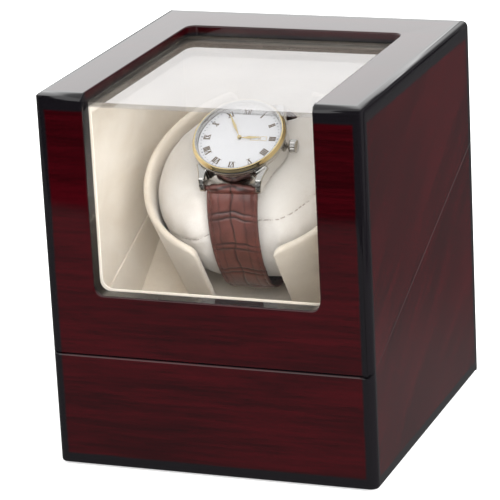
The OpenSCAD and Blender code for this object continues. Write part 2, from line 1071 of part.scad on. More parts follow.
module control_board() {
    color([0.05, 0.3, 0.12])
        difference() {
            translate([board_x, board_y, board_z])
                cube([board_w, board_l, board_t]);
            board_corner_places()
                cylinder(r = board_shank_r + 2 * screw_pass, h = far);
        }
}

module board_components() {
    z = board_z + board_t;
    color([0.12, 0.12, 0.13])
        translate([board_x, board_y, z]) {
            translate([14, 10, 0])
                cube([12, 8, 1.8]);
            translate([30, 12, 0])
                cube([7, 5, 1.6]);
            translate([16, 26, 0])
                cylinder(r = 4, h = 9);
            translate([30, 27, 0])
                cylinder(r = 2.5, h = 6);
            translate([1, 17, 0])
                cube([5, 8, 5]);
            translate([18, board_l - 6, 0])
                cube([12, 5, 5]);
        }
}

module board_standoffs() {
    color("goldenrod")
        board_corner_places()
            difference() {
                translate([0, 0, panel_top])
                    cylinder(r = standoff_r, h = standoff_h);
                translate([0, 0, panel_top + 1])
                    cylinder(r = board_shank_r, h = standoff_h);
            }
}

module board_screws() {
    color("silver")
        board_corner_places()
            translate([0, 0, board_z + board_t])
                pan_screw(board_shank_r, board_head_r, board_head_t, board_t + 3);
}

// ---------------------------------------------------------------- leads

function unit(v) = v / norm(v);

// a point at t, from 0 to 1, between b and c on the smooth curve through a, b, c and d
function catmull(a, b, c, d, t) =
    0.5 * (2 * b + (c - a) * t + (2 * a - 5 * b + 4 * c - d) * t * t
        + (3 * b - a - 3 * c + d) * t * t * t);

function smooth_path(p, steps) = [
    for (i = [0 : len(p) - 2], s = [0 : steps - 1])
        catmull(p[max(i - 1, 0)], p[i], p[i + 1], p[min(i + 2, len(p) - 1)], s / steps),
    p[len(p) - 1]
];

// a round lead through the points, cut square at both ends
module lead(points, r) {
    sides = 8;
    path = smooth_path(points, 4);
    n = len(path);
    last_point = len(points) - 1;
    tangents = [
        for (i = [0 : n - 1])
            i == 0 ? unit(points[1] - points[0])
                : i == n - 1 ? unit(points[last_point] - points[last_point - 1])
                : unit(path[i + 1] - path[i - 1])
    ];
    guide = [0.31, 0.23, 0.92];
    rings = [
        for (i = [0 : n - 1])
            let (side = unit(cross(tangents[i], guide)), up = cross(side, tangents[i]))
                for (k = [0 : sides - 1])
                    path[i] + r * (cos(360 * k / sides) * side + sin(360 * k / sides) * up)
    ];
    walls = [
        for (i = [0 : n - 2], k = [0 : sides - 1])
            let (a = i * sides + k, b = i * sides + (k + 1) % sides)
                each [[a, b, a + sides], [b, b + sides, a + sides]]
    ];
    first = [[for (k = [sides - 1 : -1 : 0]) k]];
    last = [[for (k = [0 : sides - 1]) (n - 1) * sides + k]];
    polyhedron(rings, concat(first, walls, last));
}

lead_r = 0.7;
inlet_tab_y = back_y - inlet_depth - tab_l;
rocker_tab_y = back_y - rocker_depth - tab_l;
power_plug = [board_x + 24, board_y + board_l - 1, board_z + board_t + 2.5];
motor_plug = [board_x + 1, board_y + 21, board_z + board_t + 2.5];

module power_leads() {
    color([0.7, 0.08, 0.06]) {
        lead([
            [inlet_x + inlet_tab_x, inlet_tab_y, ctrl_z],
            [inlet_x + inlet_tab_x, inlet_tab_y - 3, ctrl_z],
            [inlet_x + 10, inlet_tab_y - 5, ctrl_z - 4],
            [-rocker_tab_x, rocker_tab_y - 4, ctrl_z],
            [-rocker_tab_x, rocker_tab_y, ctrl_z]
        ], lead_r);
        lead([
            [rocker_tab_x, rocker_tab_y, ctrl_z],
            [rocker_tab_x, rocker_tab_y - 4, ctrl_z],
            [12, rocker_tab_y - 14, 19],
            power_plug + [-2, 6, 0],
            power_plug + [-2, 0, 0]
        ], lead_r);
    }
    color([0.1, 0.1, 0.1])
        lead([
            [inlet_x - inlet_tab_x, inlet_tab_y, ctrl_z],
            [inlet_x - inlet_tab_x, inlet_tab_y - 3, ctrl_z],
            [inlet_x + 6, inlet_tab_y - 8, 14],
            [8, inlet_tab_y - 6, 10],
            power_plug + [2, 6, 0],
            power_plug + [2, 0, 0]
        ], lead_r);
}

// the point at [x, y, z] in the deck's frame, in the box's frame
function deck_point(x, y, z) = [
    x,
    axis_y + y * cos(deck_tilt) - z * sin(deck_tilt),
    axis_z + y * sin(deck_tilt) + z * cos(deck_tilt)
];

module motor_leads() {
    end_z = -gearbox_end - motor_l - motor_tab_l;
    for (side = [-1, 1]) {
        drop = 3 - side * 1.5;
        color(side > 0 ? [0.7, 0.08, 0.06] : [0.1, 0.1, 0.1])
            lead([
                deck_point(motor_x + side * motor_tab_x, motor_y, end_z),
                deck_point(motor_x + side * motor_tab_x, motor_y, end_z - drop),
                deck_point(motor_x + 14 + side, motor_y - 3 + side, end_z - drop + 1),
                motor_plug + [-5 + side * 1.5, 6, -1],
                motor_plug + [-3, side * 1.5, 0],
                motor_plug + [0, side * 1.5, 0]
            ], lead_r);
    }
}

// ---------------------------------------------------------------- drive

module gearbox_screw_places() {
    on_deck()
        for (x = [case_left + flange / 2, case_right - flange / 2])
            for (y = [case_low - flange / 2, case_high + flange / 2])
                translate([x, y, 0])
                    children();
}

module case_rect(grow, r) {
    rounded_rect(case_left - grow, case_low - grow, case_right + grow, case_high + grow, [r, r, r, r]);
}

module flange_rect() {
    rounded_rect(case_left, case_low - flange, case_right, case_high + flange, [3, 3, 3, 3]);
}

module gearbox_plate() {
    color([0.75, 0.76, 0.78])
        difference() {
            on_deck()
                translate([0, 0, -plate_under])
                    linear_extrude(box_wall)
                        flange_rect();
            on_deck()
                translate([0, 0, -far / 2])
                    cylinder(r = bush_r, h = far);
            on_deck()
                translate([idler_x, 0, -far / 2])
                    cylinder(r = idler_pin_r, h = far);
            gearbox_screw_places()
                translate([0, 0, -far / 2])
                    cylinder(r = screw_shank_r + screw_pass, h = far);
        }
}

module gearbox_cover() {
    color([0.2, 0.2, 0.22])
        difference() {
            on_deck() {
                difference() {
                    translate([0, 0, -gearbox_end])
                        linear_extrude(gearbox_end - plate_under)
                            case_rect(0, 3);
                    translate([0, 0, -gearbox_end + box_wall])
                        linear_extrude(far)
                            case_rect(-box_wall, 1);
                }
                translate([0, 0, -plate_under - box_wall])
                    linear_extrude(box_wall)
                        difference() {
                            flange_rect();
                            case_rect(-box_wall, 1);
                        }
            }
            on_deck() {
                translate([0, 0, -far])
                    cylinder(r = bush_r, h = far);
                translate([idler_x, 0, -far])
                    cylinder(r = idler_pin_r, h = far);
                translate([motor_x, motor_y, -far])
                    cylinder(r = motor_boss_r, h = far);
                for (x = [-1, 1])
                    translate([motor_x + x * motor_screw_x, motor_y, -far])
                        cylinder(r = motor_shank_r + screw_play, h = far);
            }
            gearbox_screw_places()
                translate([0, 0, -far / 2])
                    cylinder(r = screw_shank_r + screw_pass, h = far);
        }
}

module gearbox_screws() {
    color("silver")
        gearbox_screw_places()
            translate([0, 0, -plate_under - box_wall])
                mirror([0, 0, 1])
                    pan_screw(screw_shank_r, screw_head_r, screw_head_t, 2 * box_wall + deck_t - 1);
}

module motor() {
    color([0.7, 0.71, 0.73])
        on_deck()
            translate([motor_x, motor_y, -gearbox_end]) {
                difference() {
                    union() {
                        translate([0, 0, -motor_l])
                            cylinder(d = motor_d, h = motor_l);
                        cylinder(r = motor_boss_r, h = motor_boss_h);
                        translate([0, 0, -motor_l - motor_cap_h])
                            cylinder(r = motor_boss_r, h = motor_cap_h + eps);
                        for (x = [-1, 1])
                            translate([x * motor_tab_x, 0, -motor_l])
                                plank(0.5, 2, -motor_tab_l, 0.1);
                    }
                    translate([0, 0, -6])
                        cylinder(r = motor_shaft_r + run_fit, h = far);
                    for (x = [-1, 1])
                        translate([x * motor_screw_x, 0, -3])
                            cylinder(r = motor_shank_r, h = 4);
                }
            }
}

module motor_screws() {
    color("silver")
        on_deck()
            for (x = [-1, 1])
                translate([motor_x + x * motor_screw_x, motor_y, -gearbox_end + box_wall])
                    pan_screw(motor_shank_r, motor_head_r, motor_head_t, box_wall + 2.5);
}

module spindle_bushes() {
    color([0.85, 0.85, 0.82])
        on_deck() {
            difference() {
                union() {
                    translate([0, 0, -plate_under])
                        cylinder(r = bush_r, h = plate_under + bush_flange_t);
                    cylinder(r = bush_flange_r, h = bush_flange_t);
                }
                translate([0, 0, -far / 2])
                    cylinder(r = spindle_bore, h = far);
            }
            translate([0, 0, -gearbox_end])
                difference() {
                    translate([0, 0, -low_flange_t]) {
                        cylinder(r = bush_r, h = low_bush_l + low_flange_t);
                        cylinder(r = bush_flange_r, h = low_flange_t);
                    }
                    translate([0, 0, -bush_flange_t - thrust_gap])
                        cylinder(r = spindle_bore, h = far);
                }
        }
}

module idler_pin() {
    color("silver")
        on_deck()
            translate([idler_x, 0, -gearbox_end])
                cylinder(r = idler_pin_r, h = gearbox_end - deck_t);
}

function involute_angle(r, base) = sqrt(pow(r / base, 2) - 1) * 180 / PI - acos(base / r);

// outline of a gear with z teeth, one tooth centred on +X
function gear_outline(z) =
    let (
        pitch = gear_mod * z / 2,
        base = pitch * cos(pressure),
        tip = pitch + gear_mod,
        root = pitch - 1.25 * gear_mod,
        half = 90 / z - backlash / pitch * 90 / PI,
        at_pitch = involute_angle(pitch, base),
        start = max(base, root),
        radii = [start, pitch, (pitch + tip) / 2, tip]
    )
    [
        for (k = [0 : z - 1])
            let (mid = 360 * k / z)
                each concat(
                    [polar(root, mid - half - at_pitch - 0.3)],
                    [for (r = radii) polar(r, mid - half - at_pitch + involute_angle(r, base))],
                    [for (i = [3 : -1 : 0]) polar(radii[i], mid + half + at_pitch
                        - involute_angle(radii[i], base))],
                    [polar(root, mid + half + at_pitch + 0.3)]
                )
    ];

function polar(r, a) = [r * cos(a), r * sin(a)];

// a gear with a tooth centred on the direction given
module spur(z, towards, height) {
    rotate([0, 0, towards])
        linear_extrude(height)
            polygon(gear_outline(z));
}

module output_gear() {
    color([0.93, 0.93, 0.9])
        on_deck()
            translate([0, 0, -out_gear_end])
                difference() {
                    union() {
                        spur(output_z, 180, gear_t);
                        translate([0, 0, gear_t - eps])
                            cylinder(r = bush_r + 1, h = out_gear_top - plate_under - thrust_gap);
                    }
                    translate([0, 0, -far / 2])
                        cylinder(r = spindle_r, h = far);
                    for (a = [0 : 60 : 300])
                        rotate([0, 0, a])
                            translate([output_r * 0.62, 0, -1])
                                cylinder(r = output_r * 0.18, h = gear_t + 2);
                }
}

module idler_gear() {
    small_pitch = 360 / idler_small_z;
    color([0.93, 0.93, 0.9])
        on_deck()
            translate([idler_x, 0, 0])
                difference() {
                    union() {
                        translate([0, 0, -big_gear_top - eps])
                            spur(idler_small_z, small_pitch / 2, big_gear_top - out_gear_top + thrust_gap);
                        translate([0, 0, -big_gear_end])
                            spur(idler_large_z, motor_dir, gear_t);
                        translate([0, 0, -gearbox_end + box_wall + thrust_gap])
                            cylinder(r = idler_collar_r, h = run_gap);
                        translate([0, 0, -out_gear_top])
                            cylinder(r = idler_collar_r, h = out_gear_top - plate_under - thrust_gap);
                    }
                    translate([0, 0, -far / 2])
                        cylinder(r = idler_pin_r + run_fit, h = far);
                }
}

module motor_pinion() {
    tooth_pitch = 360 / pinion_z;
    on_deck()
        translate([motor_x, motor_y, 0]) {
            color([0.8, 0.68, 0.35])
                translate([0, 0, -big_gear_end - thrust_gap])
                    spur(pinion_z, motor_dir + 180 + tooth_pitch / 2, gear_t);
            color("silver")
                translate([0, 0, -gearbox_end - shaft_in])
                    cylinder(r = motor_shaft_r, h = gearbox_end + shaft_in - big_gear_top + thrust_gap);
        }
}

module spindle() {
    color("silver")
        on_deck()
            difference() {
                translate([0, 0, -gearbox_end - bush_flange_t])
                    cylinder(r = spindle_r, h = gearbox_end + bush_flange_t + hub_top);
                translate([0, 0, hub_top - 8])
                    cylinder(r = screw_shank_r, h = 9);
            }
}

module hub_screw_places() {
    for (a = [30, 150, 270])
        rotate([0, 0, a])
            translate([hub_screw_at, 0, 0])
                children();
}

module cup_hub() {
    color([0.15, 0.15, 0.16])
        on_cup()
            difference() {
                translate([0, 0, hub_floor])
                    cylinder(r = hub_r, h = hub_t);
                cylinder(r = spindle_r, h = far);
                hub_screw_places()
                    translate([0, 0, hub_floor + 0.5])
                        cylinder(r = screw_shank_r, h = far);
            }
}

module cup_screws() {
    color("silver")
        on_cup()
            translate([0, 0, cup_floor]) {
                difference() {
                    sunk_screw(screw_shank_r, screw_head_r, 7);
                    cross_slot(screw_head_r);
                }
                hub_screw_places()
                    difference() {
                        sunk_screw(screw_shank_r, screw_head_r, cup_floor_t + hub_t - 0.8);
                        cross_slot(screw_head_r);
                    }
            }
}

// ---------------------------------------------------------------- cup and cushion

// outline of the notches, seen along the strap, with rolled top corners
module notch_outline() {
    top = cup_h + 10;
    half = notch_w / 2;
    rounded_rect(-half, notch_floor, half, top, [notch_r, notch_r, outside_r, outside_r]);
    for (side = [0, 1])
        mirror([side, 0])
            translate([half, cup_h + cup_bead_r])
                rotate(-90)
                    difference() {
                        translate([-10, -1])
                            square([10 + notch_r, notch_r + 1]);
                        translate([notch_r, notch_r])
                            circle(notch_r);
                        translate([-10, notch_r])
                            square(10);
                    }
}

module winder_cup() {
    skirt_r = cup_foot_r + cup_bead_r;
    inner_foot = cup_foot_r - cup_bead_r;
    color([0.9, 0.87, 0.8])
        on_cup()
            difference() {
                rotate_extrude() {
                    polygon([
                        [0, hub_top],
                        [inner_foot, hub_top],
                        [inner_foot, cup_gap],
                        [skirt_r, cup_gap],
                        [cup_rim_r + cup_bead_r, cup_h],
                        [cup_rim_r - cup_bead_r, cup_h],
                        [inner_foot, cup_floor],
                        [0, cup_floor]
                    ]);
                    translate([cup_rim_r, cup_h])
                        circle(cup_bead_r);
                }
                rotate([90, 0, 0])
                    translate([0, 0, -far / 2])
                        linear_extrude(far)
                            notch_outline();
                translate([0, 0, cup_floor])
                    sunk_screw(screw_shank_r + screw_pass, screw_head_r, far);
                hub_screw_places()
                    translate([0, 0, cup_floor])
                        sunk_screw(screw_shank_r + screw_pass, screw_head_r, far);
            }
}

function bulge(x) = sqrt(max(0, 1 - pow(max(0, x), 2)));
function signed_pow(x, p) = sign(x) * pow(abs(x), p);
lobe_power = 0.9;

// half size of the cushion at u across the strap: [along the strap, up, down, middle height]
function cushion_half(u) =
    let (
        edge = bulge((abs(u) - lobe_flat) / (cushion_w / 2 - lobe_flat)),
        waist = abs(u) < waist_w / 2 + eps ? 1 : 0,
        mid = waist * loop_mid + (1 - waist) * lobe_mid,
        full = [cushion_l / 2, cushion_top - mid, mid - cushion_floor],
        pinch = [cushion_l / 2 - loop_half + strap_t + strap_gap, 0, waist_low]
    )
    concat([for (i = [0 : 2]) edge * full[i] - waist * pinch[i]], mid);

// the cushion as rings across the strap: two round lobes and a waist
module cushion() {
    sides = 28;
    lobe_rings = 9;
    lobe_in = waist_w / 2 + 5;
    lobe_out = cushion_w / 2 - 0.5;
    lobe = [for (i = [0 : lobe_rings]) lobe_in + (lobe_out - lobe_in) * sin(90 * i / lobe_rings)];
    us = concat(
        [for (i = [lobe_rings : -1 : 0]) -lobe[i]],
        [-waist_w / 2, 0, waist_w / 2],
        lobe
    );
    last_ring = len(us) - 1;
    points = [
        for (u = us, k = [0 : sides - 1])
            let (
                h = cushion_half(u),
                c = cos(360 * k / sides),
                s = sin(360 * k / sides),
                up = s > 0 ? h[1] : h[2]
            )
                [u, h[0] * signed_pow(c, lobe_power), h[3] + up * signed_pow(s, lobe_power)]
    ];
    walls = [
        for (i = [0 : last_ring - 1], k = [0 : sides - 1])
            let (a = i * sides + k, b = i * sides + (k + 1) % sides)
                each [[a, a + sides, b], [b, a + sides, b + sides]]
    ];
    first = [[for (k = [0 : sides - 1]) k]];
    last = [[for (k = [sides - 1 : -1 : 0]) last_ring * sides + k]];
    color([0.92, 0.88, 0.82])
        on_cushion()
            polyhedron(points, concat(first, walls, last));
}

// ---------------------------------------------------------------- watch

module watch_case() {
    color([0.75, 0.75, 0.76])
        on_watch()
            difference() {
                union() {
                    translate([0, 0, case_floor + back_t])
                        cylinder(r = case_r, h = case_t);
                    for (x = [0, 1])
                        for (y = [0, 1])
                            mirror([0, y, 0])
                                mirror([x, 0, 0])
                                    translate([(lug_w + lug_t) / 2, 0, 0])
                                        lug();
                    translate([case_r - 2, 0, crown_z])
                        rotate([0, 90, 0])
                            cylinder(r = stem_tube_r, h = crown_x - case_r + 1.5);
                }
                translate([0, 0, case_floor + 1.8])
                    cylinder(r = glass_r - 1, h = far);
                translate([case_r - 1.5, 0, crown_z])
                    rotate([0, 90, 0])
                        cylinder(r = stem_r + run_fit, h = far);
                bar_places()
                    translate([-lug_w / 2 - 1.2, 0, 0])
                        rotate([0, 90, 0])
                            cylinder(r = 0.5, h = lug_w + 2.4);
            }
}

module bar_places() {
    for (y = [-1, 1])
        translate([0, y * lug_reach, bar_z])
            children();
}

// a lug that sweeps out of the case and curves down to its spring bar
module lug() {
    tip_r = 1.5;
    low = case_floor + 1.2;
    high = case_top - 0.4;
    inner = -lug_t / 2;
    intersection() {
        rotate([90, 0, 90])
            translate([0, 0, inner])
                linear_extrude(case_r)
                    union() {
                        polygon([
                            [case_r - lug_lift, low],
                            [lug_reach - tip_r, bar_z - tip_r * 0.5],
                            [lug_reach + tip_r * 0.97, bar_z + 0.3],
                            [lug_reach + tip_r * 0.6, bar_z + 2.2],
                            [case_r + 0.6, high - 1.2],
                            [case_r - lug_lift, high]
                        ]);
                        translate([lug_reach, bar_z])
                            circle(tip_r);
                    }
        linear_extrude(far)
            polygon([
                [inner, 0],
                [inner, lug_reach + 2 * tip_r],
                [-inner - 0.5, lug_reach + 2 * tip_r],
                [-inner, lug_reach],
                [-inner + 0.7, case_r - 1.5],
                [-inner + 2.2, case_r - lug_lift],
                [-inner + 3.6, case_r * 0.42],
                [-inner, 0]
            ]);
    }
}

module watch_case_back() {
    color([0.7, 0.7, 0.72])
        on_watch()
            translate([0, 0, case_floor])
                cylinder(r = glass_r - 0.5, h = back_t);
}

module watch_bezel() {
    color([0.85, 0.7, 0.35])
        on_watch()
            translate([0, 0, case_top])
                rotate_extrude()
                    polygon([
                        [glass_r, 0],
                        [bezel_r, 0],
                        [bezel_r, bezel_t * 0.45],
                        [bezel_r - bezel_wide * 0.45, bezel_t],
                        [glass_r, bezel_t]
                    ]);
}

module watch_crystal() {
    color([0.9, 0.95, 1, 0.25])
        on_watch()
            translate([0, 0, bezel_top - crystal_t + 0.3])
                cylinder(r = glass_r, h = crystal_t);
}

module watch_dial() {
    color([0.95, 0.95, 0.96])
        on_watch()
            difference() {
                translate([0, 0, case_top])
                    cylinder(r = glass_r, h = dial_t);
                translate([0, 0, case_floor])
                    cylinder(r = 0.8, h = far);
            }
}

// a leaf-shaped hand with a boss
module hand(length, width, boss_r, angle) {
    rotate([0, 0, angle]) {
        cylinder(r = boss_r, h = hand_t);
        linear_extrude(hand_t)
            polygon([
                [-boss_r * 2.6, -width * 0.3],
                [0, -width * 0.35],
                [length * 0.45, -width / 2],
                [length, 0],
                [length * 0.45, width / 2],
                [0, width * 0.35],
                [-boss_r * 2.6, width * 0.3]
            ]);
    }
}

module watch_hour_hand() {
    color([0.85, 0.7, 0.35])
        on_watch()
            difference() {
                union() {
                    translate([0, 0, hour_z])
                        hand(hour_l, hour_w, hour_boss_r, hour_angle);
                    translate([0, 0, case_floor + 2])
                        cylinder(r = pipe_r, h = hour_z + hand_t / 2 - case_floor - 2);
                }
                translate([0, 0, case_floor])
                    cylinder(r = arbor_r + run_fit, h = far);
            }
}

module watch_minute_hand() {
    color([0.85, 0.7, 0.35])
        on_watch() {
            translate([0, 0, minute_z])
                hand(minute_l, minute_w, minute_boss_r, minute_angle);
            translate([0, 0, case_floor + 1.9])
                cylinder(r = arbor_r, h = minute_z + hand_t + 0.15 - case_floor - 1.9);
        }
}

module watch_crown() {
    color([0.8, 0.78, 0.7])
        on_watch()
            translate([crown_x, 0, crown_z])
                rotate([0, 90, 0])
                    difference() {
                        union() {
                            cylinder(d = crown_d, h = crown_l);
                            translate([0, 0, -2.2])
                                cylinder(r = stem_r, h = 2.3);
                        }
                        for (a = [0 : 20 : 340])
                            rotate([0, 0, a])
                                translate([crown_d / 2, 0, 0.5])
                                    cylinder(r = 0.25, h = crown_l - 1, $fn = 16);
                    }
}

module watch_spring_bars() {
    color("silver")
        on_watch()
            bar_places()
                union() {
                    translate([-lug_w / 2 + 0.1, 0, 0])
                        rotate([0, 90, 0])
                            cylinder(r = bar_r, h = lug_w - 0.2);
                    translate([-lug_w / 2 - 1, 0, 0])
                        rotate([0, 90, 0])
                            cylinder(r = 0.5, h = lug_w + 2);
                }
}

// point of the strap's loop at angle a from +Y, drawn in by d; its lower half is squarer
function loop_point(a, d) =
    let (power = a > 180 ? 0.85 : 1, tall = a < 180 ? loop_rise : loop_drop)
        [(loop_half - d) * signed_pow(cos(a), power), loop_mid + (tall - d) * signed_pow(sin(a), power)];

module watch_strap() {
    start = acos(lug_reach / (loop_half - strap_t / 2));
    stop = 180 - start;
    steps = 44;
    eye_r = bar_r + 1.1;
    path = [for (i = [0 : steps]) stop + (360 + start - stop) * i / steps];
    color([0.32, 0.12, 0.09])
        on_watch()
            translate([-strap_w / 2, 0, 0])
                rotate([90, 0, 90])
                    linear_extrude(strap_w)
                        difference() {
                            union() {
                                polygon(concat(
                                    [[-lug_reach + eye_r, bar_z], [-lug_reach - eye_r, bar_z]],
                                    [for (a = path) loop_point(a % 360, 0)],
                                    [[lug_reach + eye_r, bar_z], [lug_reach - eye_r, bar_z]],
                                    [for (i = [steps : -1 : 0]) loop_point(path[i] % 360, strap_t)]
                                ));
                                for (side = [-1, 1])
                                    translate([side * lug_reach, bar_z])
                                        circle(eye_r);
                            }
                            for (side = [-1, 1])
                                translate([side * lug_reach, bar_z])
                                    circle(bar_r + 0.02);
                        }
}

// a frame on the outside of the strap's lower back, with its tongue
module watch_buckle() {
    wire = 1.5;
    inner_w = strap_w + 0.6;
    inner_l = 11;
    at = 336;
    along = loop_point(at + 1, 0) - loop_point(at - 1, 0);
    p = loop_point(at, 0);
    dip = inner_l * inner_l / 8 / loop_half;
    color([0.8, 0.8, 0.8])
        on_watch()
            translate([0, p[0], p[1]])
                rotate([atan2(-along[1], -along[0]), 0, 0])
                    translate([0, 0, 0.1 - dip]) {
                        difference() {
                            plank(inner_w + 2 * wire, inner_l + 2 * wire, 0, wire);
                            plank(inner_w, inner_l, -1, wire + 1);
                        }
                        translate([0, inner_l / 2 + wire / 2, wire * 0.7])
                            rotate([90, 0, 0])
                                cylinder(r = wire / 2.5, h = inner_l + wire);
                    }
}

base_shell();
bottom_panel();
bottom_screws();
fixing_blocks();
feet();
base_lining();
deck_panel();
deck_cleats();
hinge_base_leaves();
hinge_pins();
hinge_base_screws();
base_magnet();
rear_plate();
rear_plate_screws();
dc_inlet();
rocker_frame();
power_rocker();
mode_switch();
mode_knob();
control_board();
board_components();
board_standoffs();
board_screws();
power_leads();
motor_leads();
gearbox_plate();
gearbox_cover();
gearbox_screws();
motor();
motor_screws();
spindle_bushes();
idler_pin();
motor_pinion();
idler_gear();
output_gear();
spindle();
cup_hub();
cup_screws();
winder_cup();
cushion();
lid_shell();
lid_lining();
front_pane();
top_pane();
hinge_lid_leaves();
hinge_lid_screws();
lid_magnet();
watch_case();
watch_case_back();
watch_bezel();
watch_crystal();
watch_dial();
watch_hour_hand();
watch_minute_hand();
watch_crown();
watch_spring_bars();
watch_strap();
watch_buckle();
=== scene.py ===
import json
import math

import bmesh
import bpy
from mathutils import Matrix, Vector, noise
from mathutils.bvhtree import BVHTree


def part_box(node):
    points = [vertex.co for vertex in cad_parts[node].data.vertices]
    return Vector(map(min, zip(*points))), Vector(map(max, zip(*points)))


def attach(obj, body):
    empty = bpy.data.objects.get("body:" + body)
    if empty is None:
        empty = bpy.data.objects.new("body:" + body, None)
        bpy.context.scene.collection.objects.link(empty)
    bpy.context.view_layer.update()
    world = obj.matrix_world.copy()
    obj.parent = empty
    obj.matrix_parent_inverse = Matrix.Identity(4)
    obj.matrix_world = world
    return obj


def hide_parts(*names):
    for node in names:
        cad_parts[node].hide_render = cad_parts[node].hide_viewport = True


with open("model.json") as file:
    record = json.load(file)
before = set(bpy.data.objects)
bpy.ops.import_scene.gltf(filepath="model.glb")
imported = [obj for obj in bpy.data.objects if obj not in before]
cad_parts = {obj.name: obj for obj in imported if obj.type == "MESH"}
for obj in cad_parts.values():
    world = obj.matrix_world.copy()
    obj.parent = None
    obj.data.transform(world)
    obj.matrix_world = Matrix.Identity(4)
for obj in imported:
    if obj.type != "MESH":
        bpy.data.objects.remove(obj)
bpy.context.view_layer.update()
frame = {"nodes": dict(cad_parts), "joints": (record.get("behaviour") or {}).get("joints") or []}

scene = bpy.context.scene
nodes = frame["nodes"]
mm = 0.001


# small helpers

def srgb(red, green, blue):
    def lin(c):
        c /= 255
        return c / 12.92 if c <= 0.04045 else ((c + 0.055) / 1.055) ** 2.4
    return (lin(red), lin(green), lin(blue), 1)


def spot(x, y, z):
    return Vector((x, y, z)) * mm


def joint(name):
    return next(j for j in frame["joints"] if j["name"] == name)


def link(name, mesh):
    made = bpy.data.objects.new(name, mesh)
    scene.collection.objects.link(made)
    return made


def keepMesh(name, bm):
    mesh = bpy.data.meshes.new(name)
    bm.to_mesh(mesh)
    bm.free()
    return link(name, mesh)


def fromBmesh(name, bm):
    bmesh.ops.remove_doubles(bm, verts=bm.verts, dist=1e-7)
    bmesh.ops.recalc_face_normals(bm, faces=bm.faces)
    made = keepMesh(name, bm)
    made.data.shade_smooth()
    return made


def applyModifiers(piece):
    bpy.context.view_layer.update()
    evaluated = piece.evaluated_get(bpy.context.evaluated_depsgraph_get())
    mesh = bpy.data.meshes.new_from_object(evaluated)
    piece.modifiers.clear()
    piece.data = mesh
    return piece


def sharpen(piece, degrees):
    piece.data.set_sharp_from_angle(angle=math.radians(degrees))


def paint(piece, material):
    piece.data.materials.clear()
    piece.data.materials.append(material)
    return piece


def stand(piece, body, slotName, *replaced):
    # rides on a body and stands for CAD nodes
    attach(piece, body)
    if replaced:
        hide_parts(*replaced)
    return piece


def mergedCopy(nodeName, flatness=0.5):
    # a CAD node's triangles joined up, with flat faces whole again
    bm = bmesh.new()
    bm.from_mesh(nodes[nodeName].data)
    bmesh.ops.remove_doubles(bm, verts=bm.verts, dist=1e-6)
    bmesh.ops.dissolve_limit(bm, angle_limit=math.radians(flatness), verts=bm.verts, edges=bm.edges)
    return bm


easing = {
    "segments": 3,
    "shortest": 30,      # a run of edges shorter than this stays crisp, as round a hole, mm
    "foldAngle": 40,     # edges folded more than this are rounded, degrees
    "sharpAngle": 42,    # edges folded more than this still shade sharp afterwards
    "faceShare": 0.45,   # how much of a face a bevel may take
    "edgeShare": 0.8,    # how much of an edge at its end it may take
    "inLine": 0.9,       # edges that point alike to this cosine carry a bevel on
    "leastShare": 0.12,  # below this share of its width an edge stays crisp
    "strayShare": 0.45,  # a point further off the surface than this share of the width has strayed,
    "proud": 0.01,       # and so has one that stands out of it by more than this, mm
}


def acrossFace(edge, face):
    # how far a face reaches from the middle of one of its edges
    first, second = (v.co for v in edge.verts)
    start = (first + second) / 2
    along = (second - first).normalized()
    inward = face.normal.cross(along)
    if inward.dot(face.calc_center_median() - start) < 0:
        inward = -inward
    nearest = 1.0
    for other in face.edges:
        if other is edge:
            continue
        a, b = (v.co - start for v in other.verts)
        sideA, sideB = a.dot(along), b.dot(along)
        if sideA * sideB > 0 or sideA == sideB:
            continue
        hit = a.lerp(b, sideA / (sideA - sideB)).dot(inward)
        if hit > 1e-6:
            nearest = min(nearest, hit)
    return nearest


def bevelRoom(edge):
    # the widest bevel an edge can take without running over its neighbours
    room = min(acrossFace(edge, face) for face in edge.link_faces) * easing["faceShare"]
    along = (edge.verts[1].co - edge.verts[0].co).normalized()
    for vert in edge.verts:
        for near in vert.link_edges:
            way = (near.other_vert(vert).co - vert.co).normalized()
            if near is not edge and abs(way.dot(along)) < easing["inLine"]:
                room = min(room, near.calc_length() * easing["edgeShare"])
    return room


def edgeChains(bm, degrees):
    # sharp edges in connected groups, each with its total length
    left = {e for e in bm.edges if e.is_manifold and e.calc_face_angle(0) > math.radians(degrees)}
    while left:
        chain, todo = [], [left.pop()]
        while todo:
            edge = todo.pop()
            chain.append(edge)
            for vert in edge.verts:
                for near in vert.link_edges:
                    if near in left:
                        left.remove(near)
                        todo.append(near)
        yield chain, sum(e.calc_length() for e in chain)


